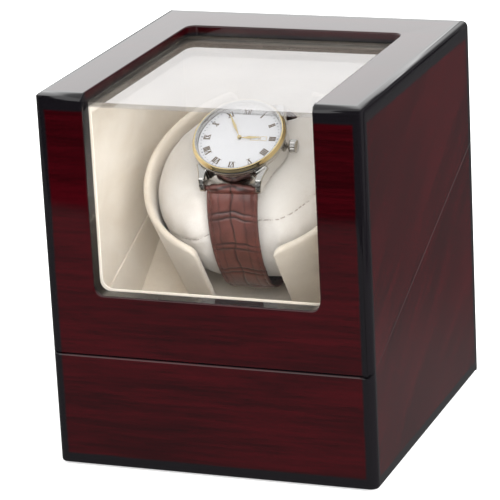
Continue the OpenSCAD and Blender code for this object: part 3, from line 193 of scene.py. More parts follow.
def easedCopy(nodeName, pieceName, width):
    # a CAD node with its long sharp edges rounded over
    bm = mergedCopy(nodeName)
    weights = bm.edges.layers.float.new("bevel_weight_edge")
    for chain, length in edgeChains(bm, easing["foldAngle"]):
        if length > easing["shortest"] * mm:
            for edge in chain:
                share = min(1, bevelRoom(edge) / (width * mm))
                edge[weights] = share if share > easing["leastShare"] else 0
    # small faces keep a ring-shaped side from being filled in where two bevels meet
    bmesh.ops.triangulate(bm, faces=[face for face in bm.faces if len(face.verts) > 4])
    skin = BVHTree.FromBMesh(bm)
    piece = fromBmesh(pieceName, bm)
    ease = piece.modifiers.new("ease", "BEVEL")
    ease.limit_method = "WEIGHT"
    ease.width = width * mm
    ease.segments = easing["segments"]
    ease.use_clamp_overlap = False
    applyModifiers(piece)
    # rounding only takes material off, so a point that strays goes back to the surface
    low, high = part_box(nodeName)
    for vert in piece.data.vertices:
        near, normal, _, gap = skin.find_nearest(vert.co)
        proud = (vert.co - near).dot(normal) > easing["proud"] * mm
        if proud or gap > easing["strayShare"] * width * mm:
            vert.co = near
        vert.co = [min(max(c, least), most) for c, least, most in zip(vert.co, low, high)]
    piece.data.shade_smooth()
    sharpen(piece, easing["sharpAngle"])
    # flat sides shade flat, and only the rounded edges turn the light
    flat = piece.modifiers.new("flat", "WEIGHTED_NORMAL")
    flat.keep_sharp = True
    return applyModifiers(piece)


def softened(nodeName, pieceName, voxel, rounds):
    # a CAD node made of even cells and rubbed over, so that every edge of it is round
    piece = fromBmesh(pieceName, mergedCopy(nodeName))
    cells = piece.modifiers.new("cells", "REMESH")
    cells.mode = "VOXEL"
    cells.voxel_size = voxel * mm
    rub = piece.modifiers.new("rub", "SMOOTH")
    rub.factor = 0.5
    rub.iterations = rounds
    applyModifiers(piece)
    piece.data.shade_smooth()
    return piece


def spun(name, profile, steps, place=Matrix.Identity(4)):
    # a closed or axis-to-axis profile of (radius, height) in mm, turned once round Z
    bm = bmesh.new()
    verts = [bm.verts.new(spot(r, 0, z)) for r, z in profile]
    edges = [bm.edges.new(pair) for pair in zip(verts, verts[1:])]
    if profile[0][0] > 0:
        edges.append(bm.edges.new((verts[-1], verts[0])))
    bmesh.ops.spin(bm, geom=verts + edges, cent=(0, 0, 0), axis=(0, 0, 1),
                   angle=2 * math.pi, steps=steps, use_merge=True)
    bmesh.ops.remove_doubles(bm, verts=bm.verts, dist=1e-6)
    bmesh.ops.transform(bm, matrix=place, verts=bm.verts)
    return fromBmesh(name, bm)


# node trees

def feed(tree, made, inputs):
    # each input is either linked or set
    for key, value in inputs.items():
        if isinstance(value, bpy.types.NodeSocket):
            tree.links.new(value, made.inputs[key])
        else:
            made.inputs[key].default_value = value


def addNode(tree, kind, inputs=None, **settings):
    made = tree.nodes.new("ShaderNode" + kind)
    for key, value in settings.items():
        setattr(made, key, value)
    feed(tree, made, inputs or {})
    return made


def compute(tree, operation, *values, clamp=False):
    made = addNode(tree, "Math", dict(enumerate(values)), operation=operation, use_clamp=clamp)
    return made.outputs[0]


def weighted(tree, first, share, second):
    # the first value at its share, the second for the rest
    return compute(tree, "ADD", compute(tree, "MULTIPLY", first, share),
                   compute(tree, "MULTIPLY", second, 1 - share))


def smoothStep(tree, value, low, high, start=0.0, end=1.0):
    made = addNode(tree, "MapRange", {"Value": value, "From Min": low, "From Max": high,
                                      "To Min": start, "To Max": end},
                   interpolation_type="SMOOTHSTEP")
    return made.outputs[0]


def blendColor(tree, factor, first, second):
    made = addNode(tree, "Mix", {0: factor, 6: first, 7: second}, data_type="RGBA")
    return made.outputs[2]


def noiseOf(tree, vector, scale, detail=3.0, roughness=0.55, distortion=0.0):
    made = addNode(tree, "TexNoise", {"Vector": vector, "Scale": scale, "Detail": detail,
                                      "Roughness": roughness, "Distortion": distortion})
    return made.outputs["Fac"]


def stretched(tree, vector, scale, turn=(0, 0, 0)):
    made = addNode(tree, "Mapping", {"Vector": vector, "Rotation": turn, "Scale": scale})
    return made.outputs[0]


def startGroup(name, inputs, outputs):
    group = bpy.data.node_groups.new(name, "ShaderNodeTree")
    for socketName, kind, value in inputs:
        made = group.interface.new_socket(socketName, in_out="INPUT",
                                          socket_type="NodeSocket" + kind)
        if value is not None:
            made.default_value = value
    for socketName, kind in outputs:
        group.interface.new_socket(socketName, in_out="OUTPUT", socket_type="NodeSocket" + kind)
    inside = group.nodes.new("NodeGroupInput").outputs
    return group, inside, group.nodes.new("NodeGroupOutput").inputs


def useGroup(tree, group, inputs):
    made = tree.nodes.new("ShaderNodeGroup")
    made.node_tree = group
    feed(tree, made, inputs)
    return made.outputs


def startMaterial(name, **constants):
    material = bpy.data.materials.new(name)
    material.use_nodes = True
    tree = material.node_tree
    shader = tree.nodes["Principled BSDF"]
    for key, value in constants.items():
        shader.inputs[key.replace("_", " ")].default_value = value
    coords = tree.nodes.new("ShaderNodeTexCoord").outputs["Object"]
    return material, tree, shader, coords


def bumpFrom(tree, shader, height, distance):
    bump = addNode(tree, "Bump", {"Height": height, "Distance": distance, "Strength": 1.0})
    tree.links.new(bump.outputs[0], shader.inputs["Normal"])


# fine unevenness of a made surface, for colour, polish and relief
def makeSurfaceGroup():
    group, inside, out = startGroup(
        "fineSurface",
        [("Vector", "Vector", None), ("Color", "Color", (0.5, 0.5, 0.5, 1)),
         ("Grain Size", "Float", 0.3), ("Shade", "Float", 0.1), ("Roughness", "Float", 0.4),
         ("Unevenness", "Float", 0.08)],
        [("Color", "Color"), ("Roughness", "Float"), ("Height", "Float")])
    scale = compute(group, "DIVIDE", 1000.0, inside["Grain Size"])
    fine = noiseOf(group, inside["Vector"], scale, 4)
    broad = noiseOf(group, inside["Vector"], 90.0, 3)
    low = compute(group, "SUBTRACT", 1.0, inside["Shade"])
    high = compute(group, "ADD", 1.0, inside["Shade"])
    mixed = weighted(group, fine, 0.4, broad)
    shade = addNode(group, "MapRange", {"Value": mixed, "From Min": 0.3, "From Max": 0.7,
                                        "To Min": low, "To Max": high}).outputs[0]
    tinted = addNode(group, "VectorMath", {0: inside["Color"], "Scale": shade},
                     operation="SCALE").outputs[0]
    uneven = compute(group, "MULTIPLY", compute(group, "SUBTRACT", broad, 0.5), inside["Unevenness"])
    group.links.new(tinted, out["Color"])
    group.links.new(compute(group, "ADD", inside["Roughness"], uneven), out["Roughness"])
    group.links.new(fine, out["Height"])
    return group


fineSurface = makeSurfaceGroup()


def madeSurface(name, color, roughness, metallic, grain, shade, relief):
    # moulded, painted, cut or cast stock with its own fine texture
    material, tree, shader, coords = startMaterial(name, Metallic=metallic)
    parts = useGroup(tree, fineSurface, {"Vector": coords, "Color": color, "Grain Size": grain,
                                         "Shade": shade, "Roughness": roughness})
    tree.links.new(parts["Color"], shader.inputs["Base Color"])
    tree.links.new(parts["Roughness"], shader.inputs["Roughness"])
    bumpFrom(tree, shader, parts["Height"], relief * mm)
    return material


# camera

# lengths in mm, angles in degrees
camera = {
    "place": (425.654, -1122.20, 459.72), "azimuth": 21.16, "elevation": 17.76, "roll": -2.96,
    "lens": 212.594, "sensor": 36,
}


def makeCamera():
    data = bpy.data.cameras.new("camera")
    data.lens = camera["lens"]
    data.sensor_width = camera["sensor"]
    data.clip_start = 0.05
    data.clip_end = 50
    made = bpy.data.objects.new("camera", data)
    scene.collection.objects.link(made)
    turn, rise = math.radians(camera["azimuth"]), math.radians(camera["elevation"])
    back = Vector((math.sin(turn) * math.cos(rise), -math.cos(turn) * math.cos(rise), math.sin(rise)))
    right = Vector((math.cos(turn), math.sin(turn), 0))
    up = back.cross(right)
    square = Matrix((right, up, back)).transposed().to_4x4()
    rolled = square @ Matrix.Rotation(math.radians(camera["roll"]), 4, "Z")
    made.matrix_world = Matrix.Translation(spot(*camera["place"])) @ rolled
    scene.camera = made


makeCamera()
scene.view_settings.view_transform = "Standard"
print("stage: camera set")


# the lacquered case

case = {
    "edgeBlack": 4.0,        # how far the black lacquer runs in from the box's edges, mm
    "topBlack": 2.6,         # how much further it runs down from the top, mm
    "edgeFade": 1.0,         # over how much it clears to the veneer, mm
    "veneerDark": (0.0095, 0.0004, 0.0010, 1), "veneerRed": (0.026, 0.0007, 0.0019, 1),
    "pore": (0.004, 0.0003, 0.0005, 1), "black": (0.004, 0.0034, 0.0044, 1), "ease": 0.8,
    "sideTilt": 33,          # lean of the side veneer's grain, degrees
    "lacquerWave": 0.03,     # slow waviness of the thick lacquer, mm
}


def makeEdgeGroup():
    # 1 on the veneer, 0 where the case is lacquered black: near its edges and inside it
    group, inside, out = startGroup(
        "blackEdge",
        [("Vector", "Vector", None), ("Half Width", "Float", 0.07), ("Front", "Float", -0.075),
         ("Back", "Float", 0.07), ("Top", "Float", 0.16), ("Bottom", "Float", 0.0),
         ("Inset", "Float", 0.004), ("Fade", "Float", 0.004)],
        [("Veneer", "Float"), ("Side", "Float")])
    axes = addNode(group, "SeparateXYZ", {0: inside["Vector"]}).outputs
    across = compute(group, "SUBTRACT", inside["Half Width"], compute(group, "ABSOLUTE", axes[0]))
    along = compute(group, "MINIMUM", compute(group, "SUBTRACT", axes[1], inside["Front"]),
                    compute(group, "SUBTRACT", inside["Back"], axes[1]))
    upward = compute(group, "MINIMUM", compute(group, "SUBTRACT", inside["Top"], axes[2]),
                     compute(group, "SUBTRACT", axes[2], inside["Bottom"]))
    lower, higher = compute(group, "MINIMUM", across, along), compute(group, "MAXIMUM", across, along)
    nearest = compute(group, "MINIMUM", lower, upward)
    second = compute(group, "MAXIMUM", lower, compute(group, "MINIMUM", higher, upward))
    cloud = compute(group, "SUBTRACT", noiseOf(group, inside["Vector"], 60.0), 0.5)
    wavy = compute(group, "ADD", second, compute(group, "MULTIPLY", cloud, 0.001))
    cleared = compute(group, "ADD", inside["Inset"], inside["Fade"])
    clear = smoothStep(group, wavy, inside["Inset"], cleared)
    outside = smoothStep(group, nearest, 0.0003, 0.0006, 1.0, 0.0)
    group.links.new(compute(group, "MULTIPLY", clear, outside), out["Veneer"])
    group.links.new(smoothStep(group, across, 0.0004, 0.0008, 1.0, 0.0), out["Side"])
    return group


def makeGrainGroup():
    # rosewood: broad dark figure, fine streaks and pores along one direction
    group, inside, out = startGroup(
        "rosewoodGrain",
        [("Vector", "Vector", None), ("Dark", "Color", (0, 0, 0, 1)), ("Red", "Color", (0, 0, 0, 1)),
         ("Pore", "Color", (0, 0, 0, 1))],
        [("Color", "Color"), ("Height", "Float")])
    figure = noiseOf(group, stretched(group, inside["Vector"], (11, 80, 80)), 1.0, 3, 0.5, 0.5)
    streaks = noiseOf(group, stretched(group, inside["Vector"], (34, 620, 620)), 1.0, 4, 0.6, 0.3)
    pores = noiseOf(group, stretched(group, inside["Vector"], (90, 1900, 1900)), 1.0, 2)
    mixed = weighted(group, figure, 0.5, streaks)
    body = blendColor(group, smoothStep(group, mixed, 0.33, 0.67), inside["Dark"], inside["Red"])
    poreMask = smoothStep(group, pores, 0.60, 0.72, 0.0, 0.55)
    group.links.new(blendColor(group, poreMask, body, inside["Pore"]), out["Color"])
    group.links.new(streaks, out["Height"])
    return group


blackEdge = makeEdgeGroup()
rosewoodGrain = makeGrainGroup()


def rosewoodLacquer():
    material, tree, shader, coords = startMaterial(
        "rosewoodLacquer", Roughness=0.5, Coat_Weight=1.0, Coat_Roughness=0.025, Coat_IOR=1.5,
        Specular_IOR_Level=0.0)
    low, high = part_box("base_shell")[0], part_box("lid_shell")[1]
    masks = useGroup(tree, blackEdge, {
        "Vector": coords, "Half Width": high.x, "Front": low.y, "Back": high.y,
        "Top": high.z - case["topBlack"] * mm, "Bottom": low.z,
        "Inset": case["edgeBlack"] * mm, "Fade": case["edgeFade"] * mm})
    colors = {"Dark": case["veneerDark"], "Red": case["veneerRed"], "Pore": case["pore"]}
    plain = useGroup(tree, rosewoodGrain, {"Vector": coords, **colors})
    # on the sides the grain runs from front to back and leans with the parting line
    turned = stretched(tree, coords, (1, 1, 1), (0, 0, math.radians(-90)))
    leaning = stretched(tree, turned, (1, 1, 1), (0, math.radians(case["sideTilt"]), 0))
    side = useGroup(tree, rosewoodGrain, {"Vector": leaning, **colors})
    veneer = blendColor(tree, masks["Side"], plain["Color"], side["Color"])
    lacquered = blendColor(tree, masks["Veneer"], case["black"], veneer)
    tree.links.new(lacquered, shader.inputs["Base Color"])
    bumpFrom(tree, shader, noiseOf(tree, coords, 22.0, 1), case["lacquerWave"] * mm)
    return material


lacquer = rosewoodLacquer()
for nodeName, body in (("base_shell", "box"), ("lid_shell", "lid")):
    wood = easedCopy(nodeName, nodeName.replace("shell", "wood"), case["ease"])
    paint(wood, lacquer)
    stand(wood, body, "lacquered_wood", nodeName)
print("stage: case made")


# velvet lining, deck and cup

velvet = {
    "cream": srgb(240, 232, 219), "shadow": srgb(226, 215, 198), "ease": 0.7,
    "cupLight": srgb(220, 211, 197), "cupDark": srgb(204, 193, 177), "voxel": 0.8, "rounding": 10,
}


def makeNapGroup():
    # the nap of short-pile velvet: clouded where it has been brushed, with fine fibres
    group, inside, out = startGroup(
        "velvetNap",
        [("Vector", "Vector", None), ("Light", "Color", (1, 1, 1, 1)),
         ("Dark", "Color", (1, 1, 1, 1)), ("Fibre", "Float", 2600.0)],
        [("Color", "Color"), ("Height", "Float")])
    clouds = noiseOf(group, stretched(group, inside["Vector"], (30, 30, 45)), 1.0, 4, 0.6, 0.5)
    fibres = noiseOf(group, inside["Vector"], inside["Fibre"], 3, 0.7)
    weave = noiseOf(group, stretched(group, inside["Vector"], (500, 500, 1700)), 1.0, 2)
    brushed = smoothStep(group, weighted(group, clouds, 0.55, fibres), 0.34, 0.62)
    group.links.new(blendColor(group, brushed, inside["Dark"], inside["Light"]), out["Color"])
    group.links.new(compute(group, "ADD", fibres, compute(group, "MULTIPLY", weave, 0.5)),
                    out["Height"])
    return group


velvetNap = makeNapGroup()


def velvetMaterial(name, light, dark, relief=0.12):
    material, tree, shader, coords = startMaterial(
        name, Roughness=0.95, Sheen_Weight=0.35, Sheen_Roughness=0.45, Specular_IOR_Level=0.15)
    parts = useGroup(tree, velvetNap, {"Vector": coords, "Light": light, "Dark": dark})
    tree.links.new(parts["Color"], shader.inputs["Base Color"])
    bumpFrom(tree, shader, parts["Height"], relief * mm)
    return material


liningVelvet = velvetMaterial("liningVelvet", velvet["cream"], velvet["shadow"])
for nodeName, body in (("base_lining", "box"), ("lid_lining", "lid"), ("deck_panel", "box")):
    padding = easedCopy(nodeName, nodeName.replace("_panel", "_board") + "_velvet", velvet["ease"])
    paint(padding, liningVelvet)
    stand(padding, body, "velvet", nodeName)


def makeCup():
    # the fabric is wrapped over the rim and the notches
    cup = softened("winder_cup", "velvet_cup", velvet["voxel"], velvet["rounding"])
    paint(cup, velvetMaterial("cupVelvet", velvet["cupLight"], velvet["cupDark"]))
    return stand(cup, "turntable", "velvet", "winder_cup")


makeCup()
print("stage: lining and cup made")


# places on the tilted deck

spin = joint("cup_spin")
tilt = math.atan2(-spin["axis"][1], spin["axis"][2])
onDeck = Matrix.Translation(Vector(spin["pos_m"])) @ Matrix.Rotation(tilt, 4, "X")
watchPose = {"turn": 1.5, "aside": -0.8}
onCushion = onDeck @ Matrix.Rotation(math.radians(watchPose["turn"]), 4, "Z")
onWatch = onCushion @ Matrix.Translation(spot(watchPose["aside"], 0, 0))
offCushion = onCushion.inverted()


# the cushion

cushion = {
    "shrink": 0.2,       # it starts this much smaller than its room, mm
    "swell": 0.7,        # the most that the air in it may move a point, mm
    "voxel": 4.0, "pressure": 4.0, "frames": 20,
    "seamHeight": 52.2, "seamAcross": 0.244, "seamAlong": -0.154,   # the seam's own tilted plane
    "seamDepth": 0.5, "seamWidth": 0.9, "pucker": 0.25, "seamLine": (0.12, 0.34),
    "light": srgb(214, 210, 204), "dark": srgb(202, 195, 187), "seamColor": srgb(120, 104, 92),
}


def simulate(piece, cap):
    # cloth under pressure, and then no point further than the cap from where it began
    start = [v.co.copy() for v in piece.data.vertices]
    cloth = piece.modifiers.new("cloth", "CLOTH")
    cloth.settings.use_pressure = True
    cloth.settings.uniform_pressure_force = cushion["pressure"]
    cloth.settings.quality = 6
    cloth.settings.effector_weights.gravity = 0
    cloth.point_cache.frame_start = 1
    cloth.point_cache.frame_end = cushion["frames"]
    for step in range(1, cushion["frames"] + 1):
        scene.frame_set(step)
    applyModifiers(piece)
    scene.frame_set(1)
    for vert, rest in zip(piece.data.vertices, start):
        move = vert.co - rest
        if move.length > cap:
            vert.co = rest + move.normalized() * cap


def makeCushion():
    bm = mergedCopy("cushion", 0.01)
    bm.normal_update()
    for vert in bm.verts:
        vert.co -= vert.normal * cushion["shrink"] * mm
    pad = fromBmesh("watch_pillow", bm)
    mesher = pad.modifiers.new("cells", "REMESH")
    mesher.mode = "VOXEL"
    mesher.voxel_size = cushion["voxel"] * mm
    applyModifiers(pad)
    simulate(pad, cushion["swell"] * mm)
    finer = pad.modifiers.new("finer", "SUBSURF")
    finer.levels = finer.render_levels = 2
    applyModifiers(pad)
    pull(pad)
    pad.data.shade_smooth()
    return pad


# the seam's plane as a unit direction and its distance from the spin's centre, mm
seamNormal = Vector((-cushion["seamAcross"], -cushion["seamAlong"], 1))
seamLevel = cushion["seamHeight"] / seamNormal.length
seamNormal.normalize()


def pull(pad):
    # the seam round the pillow draws the velvet in, with small puckers at the stitches
    for vert in pad.data.vertices:
        here = offCushion @ vert.co / mm
        off = (here.dot(seamNormal) - seamLevel) / cushion["seamWidth"]
        pucker = 1 + cushion["pucker"] * math.sin(here.x * 1.9 + here.y * 1.1)
        vert.co -= vert.normal * cushion["seamDepth"] * pucker * math.exp(-off * off) * mm


def cushionVelvet():
    material = velvetMaterial("cushionVelvet", cushion["light"], cushion["dark"], 0.1)
    tree = material.node_tree
    shader = tree.nodes["Principled BSDF"]
    color = shader.inputs["Base Color"].links[0].from_socket
    coords = tree.nodes["Texture Coordinate"].outputs["Object"]
    # distance from the seam's plane, for its thin dark line
    axis = onCushion.to_3x3() @ seamNormal
    along = addNode(tree, "VectorMath", {0: coords, 1: axis}, operation="DOT_PRODUCT")
    level = axis.dot(onCushion.translation) + seamLevel * mm
    off = compute(tree, "ABSOLUTE", compute(tree, "SUBTRACT", along.outputs["Value"], level))
    sharp, gone = cushion["seamLine"]
    line = smoothStep(tree, off, sharp * mm, gone * mm, 0.62, 0.0)
    broken = smoothStep(tree, noiseOf(tree, coords, 620.0, 1), 0.44, 0.52)
    stitched = compute(tree, "MULTIPLY", line, broken)
    tree.links.new(blendColor(tree, stitched, color, cushion["seamColor"]), shader.inputs["Base Color"])
    return material


pillow = paint(makeCushion(), cushionVelvet())
stand(pillow, "turntable", "cushion_velvet", "cushion")
print("stage: cushion made")


# metals, glass and plastics

# colour, roughness, metallic, grain size in mm, shade and relief in mm
gold = madeSurface("polishedGold", srgb(242, 222, 172), 0.12, 1.0, 0.2, 0.03, 0.001)
steel = madeSurface("polishedSteel", srgb(206, 204, 200), 0.14, 1.0, 0.2, 0.03, 0.001)
dullSteel = madeSurface("dullSteel", srgb(168, 168, 166), 0.34, 1.0, 0.15, 0.06, 0.004)
brass = madeSurface("hingeBrass", srgb(205, 168, 92), 0.26, 1.0, 0.2, 0.06, 0.003)
blackPlastic = madeSurface("blackPlastic", srgb(28, 28, 30), 0.5, 0.0, 0.35, 0.12, 0.03)
glossBlack = madeSurface("glossBlackPlastic", srgb(20, 20, 22), 0.22, 0.0, 0.5, 0.08, 0.005)
panelBlack = madeSurface("bottomFelt", srgb(38, 36, 38), 0.92, 0.0, 0.25, 0.3, 0.08)
rawWood = madeSurface("rawWood", srgb(206, 176, 132), 0.7, 0.0, 0.8, 0.12, 0.05)
rubber = madeSurface("rubber", srgb(24, 24, 24), 0.85, 0.0, 0.4, 0.15, 0.05)
nylon = madeSurface("gearNylon", srgb(232, 230, 220), 0.42, 0.0, 0.5, 0.05, 0.01)
circuitGreen = madeSurface("circuitGreen", srgb(22, 82, 44), 0.35, 0.0, 1.2, 0.2, 0.02)
gearboxGrey = madeSurface("gearboxGrey", srgb(66, 66, 70), 0.55, 0.0, 0.4, 0.1, 0.03)
leadSheath = madeSurface("leadSheath", srgb(120, 22, 18), 0.45, 0.0, 0.4, 0.08, 0.01)
magnetMetal = madeSurface("magnetMetal", srgb(190, 190, 192), 0.2, 1.0, 0.3, 0.04, 0.002)


pane = {
    "index": 1.49, "leastAlpha": 0.006, "clear": (0.98, 0.99, 1, 1), "smoky": (0.49, 0.48, 0.48, 1),
}


def clearPane(name, strength, tint):
    # alpha holds what glass reflects, so lamps still shine through it
    material, tree, shader, coords = startMaterial(name, Metallic=1.0, Roughness=0.02, Base_Color=tint)
    behind = addNode(tree, "NewGeometry").outputs["Backfacing"]
    # seen from inside the glass the ratio turns over, so both faces reflect alike
    ratio = addNode(tree, "MapRange", {"Value": behind, "To Min": pane["index"],
                                       "To Max": 1 / pane["index"]}).outputs[0]
    fresnel = addNode(tree, "Fresnel", {"IOR": ratio}).outputs[0]
    smear = noiseOf(tree, coords, 35.0, 2)
    gloss = smoothStep(tree, smear, 0.2, 0.8, strength * 0.92, strength * 1.05)
    share = compute(tree, "MULTIPLY", fresnel, gloss)
    alpha = compute(tree, "ADD", share, pane["leastAlpha"], clamp=True)
    tree.links.new(alpha, shader.inputs["Alpha"])
    return material


paneClear = clearPane("acrylic", 0.62, pane["clear"])
topClear = clearPane("topAcrylic", 2.1, pane["smoky"])
crystalClear = clearPane("crystal", 0.8, pane["clear"])

finish = {
    "front_pane": paneClear, "top_pane": topClear,
    "bottom_panel": panelBlack, "bottom_screws": dullSteel, "fixing_blocks": rawWood, "feet": rubber,
    "deck_cleats": rawWood, "hinge_base_leaves": brass, "hinge_lid_leaves": brass, "hinge_pins": brass,
    "hinge_base_screws": brass, "hinge_lid_screws": brass, "base_magnet": magnetMetal,
    "lid_magnet": magnetMetal, "rear_plate": blackPlastic, "rear_plate_screws": dullSteel,
    "dc_inlet": glossBlack, "rocker_frame": glossBlack, "power_rocker": glossBlack,
    "mode_switch": blackPlastic, "mode_knob": glossBlack, "control_board": circuitGreen,
    "board_components": blackPlastic, "board_standoffs": brass, "board_screws": dullSteel,
    "power_leads": leadSheath, "motor_leads": leadSheath, "gearbox_plate": dullSteel,
    "gearbox_cover": gearboxGrey, "gearbox_screws": dullSteel, "motor": dullSteel,
    "motor_screws": dullSteel, "spindle_bushes": nylon, "idler_pin": steel, "motor_pinion": brass,
    "idler_gear": nylon, "output_gear": nylon, "spindle": steel, "cup_hub": blackPlastic,
    "cup_screws": dullSteel, "watch_case_back": steel,
    "watch_spring_bars": steel, "watch_buckle": steel,
}
for nodeName, material in finish.items():
    paint(nodes[nodeName], material)
print("stage: metal and plastic parts finished")


# the watch

watch = {
    "caseTop": 78.5, "dialStep": 0.5, "bezelR": 20.1, "glassR": 17.9, "bezelT": 3.2,
    "caseVoxel": 0.35, "casePolish": 6, "glassGap": 0.05, "domeOver": 0.3, "domeDrop": 0.35,
    "crownR": 2.9, "crownL": 3.4, "crownX": 20.9, "crownZ": 74.75, "flutes": 16, "flute": 0.09,
    "numeralRing": 14.3, "numeralH": 2.7, "thick": 0.5, "thin": 0.25, "serif": 0.14, "raised": 0.12,
    "trackRing": 16.5, "hourTick": (0.28, 0.9, 0.08), "minuteTick": (0.14, 0.6, 0.08),
    "windows": ((6.6, 3.6), (10.4, 2.6)),   # place and width of the day's and the date's
    "windowH": 2.1, "frame": 0.14, "frameRise": 0.1,
    "hourHand": {"length": 9.6, "width": 1.5, "lift": 0.45, "angle": 2.5},
    "minuteHand": {"length": 15.4, "width": 1.25, "lift": 1.0, "angle": 120},
    "handTail": 0.44, "handFlat": 0.16, "boss": (0.95, 0.8, 0.3),
    "dial": srgb(222, 222, 224), "numeralColor": srgb(96, 74, 40), "trackColor": srgb(70, 78, 96),
}
dialTop = watch["caseTop"] + watch["dialStep"]


def makeBezel():
    z, r, g = watch["caseTop"], watch["bezelR"], watch["glassR"]
    profile = [(g, z), (g, z + 2.5), (g + 0.25, z + 3.0), (g + 0.7, z + 3.2), (g + 1.15, z + 3.1),
               (g + 1.6, z + 2.5), (g + 1.75, z + 1.9), (g + 1.95, z + 1.65), (r - 0.12, z + 1.5),
               (r, z + 1.2), (r, z + 0.3), (r - 0.15, z)]
    ring = spun("gold_bezel", profile, 144, onWatch)
    sharpen(ring, 38)
    paint(ring, gold)
    ring.data.materials.append(steel)
    # the inner slope and the lower rim are steel, the crest between them is gilt
    center = onWatch.inverted()
    for face in ring.data.polygons:
        here = center @ face.center / mm
        if here.xy.length < g + 0.9 or here.z < z + 1.6:
            face.material_index = 1
    return stand(ring, "turntable", "watch_gold", "watch_bezel")


def makeCrystal():
    z = watch["caseTop"] + watch["bezelT"]
    r = watch["glassR"] - watch["glassGap"]
    middle, drop = z + watch["domeOver"], watch["domeDrop"]
    dome = [(r * k / 8, middle - drop * (k / 8) ** 2) for k in range(8)]
    profile = dome + [(r - 0.3, z - 0.1), (r, z - 0.4), (r, z - 1.0), (0, z - 1.0)]
    glass = spun("domed_crystal", profile, 96, onWatch)
    sharpen(glass, 40)
    paint(glass, crystalClear)
    return stand(glass, "turntable", "watch_glass", "watch_crystal")


def dialWhite():
    material, tree, shader, coords = startMaterial("dialWhite", Specular_IOR_Level=0.4)
    parts = useGroup(tree, fineSurface, {
        "Vector": coords, "Color": watch["dial"], "Grain Size": 0.12, "Shade": 0.015,
        "Roughness": 0.4})
    tree.links.new(parts["Color"], shader.inputs["Base Color"])
    tree.links.new(parts["Roughness"], shader.inputs["Roughness"])
    return material


def bar(bm, place, width, length, height, lean=0.0):
    made = bmesh.ops.create_cube(bm, size=1)["verts"]
    shape = Matrix.Diagonal((width * mm, length * mm, height * mm, 1))
    shear = Matrix.Identity(4)
    shear[0][1] = lean
    bmesh.ops.transform(bm, matrix=place @ shear @ shape, verts=made)


def numeral(bm, text, place):
    # Roman figures out of thick and thin strokes with fine serifs
    tall, rise = watch["numeralH"], watch["raised"]
    advance = {"I": 0.78, "V": 1.9, "X": 1.9}
    total = sum(advance[c] for c in text)
    x = -total / 2
    for letter in text:
        middle = x + advance[letter] / 2
        if letter == "I":
            bar(bm, place @ Matrix.Translation(spot(middle, 0, 0)), watch["thick"], tall, rise)
        else:
            lean = 0.5 if letter == "X" else 0.27
            for side, width in ((-1, watch["thick"]), (1, watch["thin"])):
                shift = 0 if letter == "X" else side * 0.36
                bar(bm, place @ Matrix.Translation(spot(middle + shift, 0, 0)), width, tall, rise,
                    side * lean)
        x += advance[letter]
    for end in (-1, 1):
        bar(bm, place @ Matrix.Translation(spot(0, end * tall / 2, 0)), total, watch["serif"], rise)


def makeDialMarks():
    top = dialTop + 0.05
    figures, ticks, frames = bmesh.new(), bmesh.new(), bmesh.new()
    names = ["XII", "I", "II", "III", "IIII", "V", "VI", "VII", "VIII", "IX", "X", "XI"]
    for hour, text in enumerate(names):
        around = onWatch @ Matrix.Rotation(math.radians(-30 * hour), 4, "Z")
        numeral(figures, text, around @ Matrix.Translation(spot(0, watch["numeralRing"], top)))
    for minute in range(60):
        tick = watch["minuteTick"] if minute % 5 else watch["hourTick"]
        around = onWatch @ Matrix.Rotation(math.radians(-6 * minute), 4, "Z")
        bar(ticks, around @ Matrix.Translation(spot(0, watch["trackRing"], top)), *tick)
    # two plain windows for the day and the date, framed in gold
    tall, line, rise = watch["windowH"], watch["frame"], watch["frameRise"]
    for x, width in watch["windows"]:
        for side in (-1, 1):
            level = onWatch @ Matrix.Translation(spot(x, side * tall / 2, top))
            bar(frames, level, width, line, rise)
            upright = onWatch @ Matrix.Translation(spot(x + side * width / 2, 0, top))
            bar(frames, upright, line, tall + line, rise)
    figureColor = madeSurface("numeralBronze", watch["numeralColor"], 0.35, 0.6, 0.2, 0.05, 0.001)
    trackColor = madeSurface("trackInk", watch["trackColor"], 0.5, 0.0, 0.2, 0.05, 0.001)
    for name, bm, material in (("dial_numerals", figures, figureColor),
                               ("minute_track", ticks, trackColor), ("date_frames", frames, gold)):
        stand(paint(keepMesh(name, bm), material), "turntable", "watch_gold")


def makeHand(name, nodeName, body, size):
    # a long faceted leaf with a round boss
    bm = bmesh.new()
    length, tail = size["length"], size["length"] * watch["handTail"]
    turned = (onWatch @ Matrix.Rotation(math.radians(size["angle"]), 4, "Z")
              @ Matrix.Translation(spot(0, 0, dialTop + size["lift"])))
    for reach, way in ((length - tail, 1), (tail, -1)):
        made = bmesh.ops.create_cone(bm, segments=4, radius1=size["width"] / 2 * mm, radius2=0.0,
                                     depth=reach * mm, cap_ends=False)["verts"]
        # the cone points along +Z: lay it along the hand and flatten it
        lay = (turned @ Matrix.Translation(spot(tail + way * reach / 2, 0, 0))
               @ Matrix.Diagonal((1, 1, watch["handFlat"], 1))
               @ Matrix.Rotation(math.radians(90 * way), 4, "Y"))
        bmesh.ops.transform(bm, matrix=lay, verts=made)
    wide, narrow, thick = watch["boss"]
    boss = bmesh.ops.create_cone(bm, segments=32, radius1=wide * mm, radius2=narrow * mm,
                                 depth=thick * mm, cap_ends=True)["verts"]
    bmesh.ops.transform(bm, matrix=turned, verts=boss)
    hand = fromBmesh(name, bm)
    sharpen(hand, 12)
    paint(hand, gold)
    return stand(hand, body, "watch_gold", nodeName)


def makeCase():
    # a forged case: every edge of its horns is polished round
    body = softened("watch_case", "steel_case", watch["caseVoxel"], watch["casePolish"])
    paint(body, steel)
    return stand(body, "turntable", "watch_steel", "watch_case")


